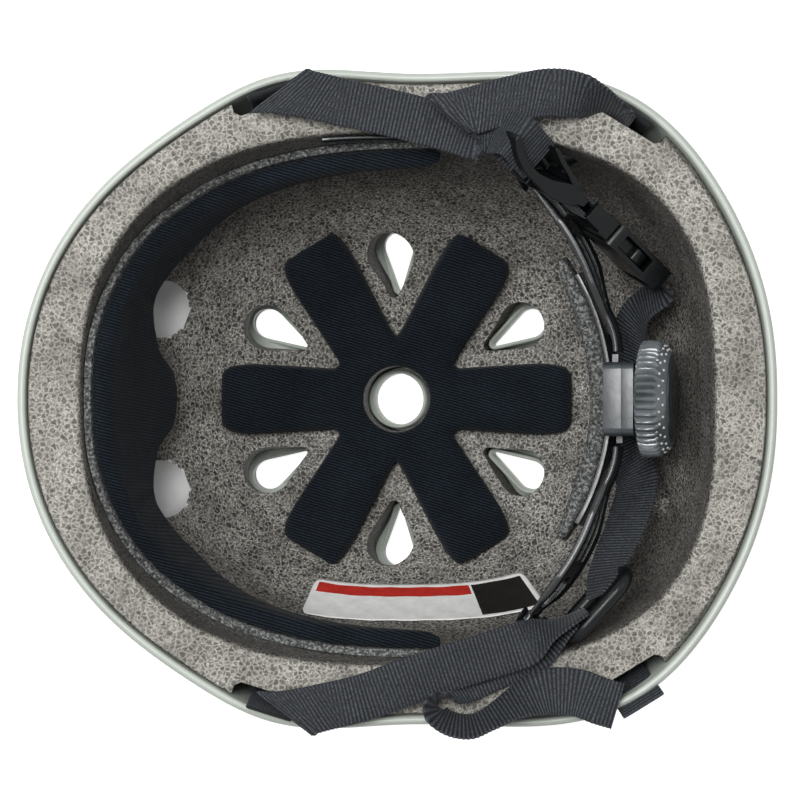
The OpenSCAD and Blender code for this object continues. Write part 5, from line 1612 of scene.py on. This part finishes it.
pips = bmesh.new()
for row, (r, z) in enumerate(PIP_ROWS):
    for k in range(PIPS):
        spot = Matrix.Translation(on_dial((k + row / 2) * math.tau / PIPS, r, z) * MM)
        bmesh.ops.create_icosphere(pips, subdivisions=2, radius=PIP_RADIUS * MM, matrix=spot)
# The pips are pale as painted highlights.
dress(object_of(pips, "dial_pips"), pip_highlight_carbonate, "dial", 180)
print("pips:", len(PIP_ROWS) * PIPS)

# %% [markdown]
# ## Nape pad
# A strip of bare foam is glued to the inside of the nape band. Its face is crowned and its ends
# thin out, and it swells like the other pads.

# %% Nape pad
NAPE_X, NAPE_Z, NAPE_RADIUS, NAPE_SPAN = 81.65, 104.16, 95, 35
NAPE_THICK, NAPE_HALF, BAND_HALF = 6.6, 6.8, 1.3
NAPE_SECTION = [(0.12, 0.94), (0, 0.6), (0, 0.2), (0, -0.2), (0, -0.6), (0.12, -0.94), (0.4, -1),
                (0.72, -0.97), (0.92, -0.82), (1, -0.5), (1.04, -0.2), (1.04, 0.2), (1, 0.5),
                (0.92, 0.82), (0.72, 0.97), (0.4, 1)]


def nape_point(a, gap, rise):
    c, s = math.cos(math.radians(CRADLE_LEAN)), math.sin(math.radians(CRADLE_LEAN))
    inward = BAND_HALF + gap
    r = NAPE_RADIUS - inward * c - rise * s
    turn = math.radians(a)
    return (NAPE_X - NAPE_RADIUS + r * math.cos(turn), r * math.sin(turn), NAPE_Z + rise * c - inward * s)


nape_loops = []
for k in range(61):
    out = k / 30 - 1
    thin, low = 1 - 0.5 * abs(out) ** 6, 1 - 0.15 * abs(out) ** 8
    nape_loops.append([nape_point(NAPE_SPAN * out, g * NAPE_THICK * thin, h * NAPE_HALF * low)
                       for g, h in NAPE_SECTION])
nape_pad = make_piece("nape_pad_foam", *capped(nape_loops), cell_foam, "carriage", "pad_foam", sharp=180)
puff(nape_pad, voxel=1.3, cap=0.4)
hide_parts("nape_pad")
print("nape pad:", len(nape_pad.data.polygons), "faces")

# %% [markdown]
# ## Mould mark
# Where the steam vent of the mould sat, the floor of the liner carries a round patch of pinholes. Each is
# drawn as a tiny dark disc on the foam, painted shade in place of the hole.

# %% Pinholes
MARK_X, MARK_Y, MARK_RADIUS = 64.5, -25.5, 4.6
PIN_SPACING, PIN_RADIUS, PIN_GAP = 1.55, 0.36, 0.08
mark_points, mark_faces = [], []
for i in range(-3, 4):
    for j in range(-3, 4):
        x, y = PIN_SPACING * (i + 0.5 * (j % 2)), PIN_SPACING * 0.87 * j
        if math.hypot(x, y) > MARK_RADIUS:
            continue
        mark_faces.append(tuple(range(len(mark_points), len(mark_points) + 8)))
        for turn in full_turn(8):
            px = MARK_X + x + PIN_RADIUS * math.cos(turn)
            py = MARK_Y + y + PIN_RADIUS * math.sin(turn)
            mark_points.append(off_floor(math.degrees(math.atan2(py, px)), math.hypot(px, py), PIN_GAP))
# Painted shade: each dark disc stands in for the shade inside a pinhole.
make_piece("mould_mark_pinholes", mark_points, mark_faces, vinyl_dark, "helmet", "liner")
print("pinholes:", len(mark_faces))

# %% [markdown]
# ## Pieces that keep their CAD form
# The hidden parts and the rivets have the right form already and only get their material.

# %% Materials for the nodes that keep their CAD form
def recoat(node, material):
    for slot in frame["nodes"][node].material_slots:
        slot.material = material


for node in ("crown_pad_hooks", "brow_pad_hooks"):
    recoat(node, black_acetal)
for node in ("rack_left", "rack_right"):
    recoat(node, black_nylon)
for node in ("strap_rivets", "pinion_shaft", "ratchet_spring", "dial_screw", "housing_screws"):
    recoat(node, zinc_steel)
print("nodes recoated")

# %% [markdown]
# ## The end

# %% The end
print("the end")
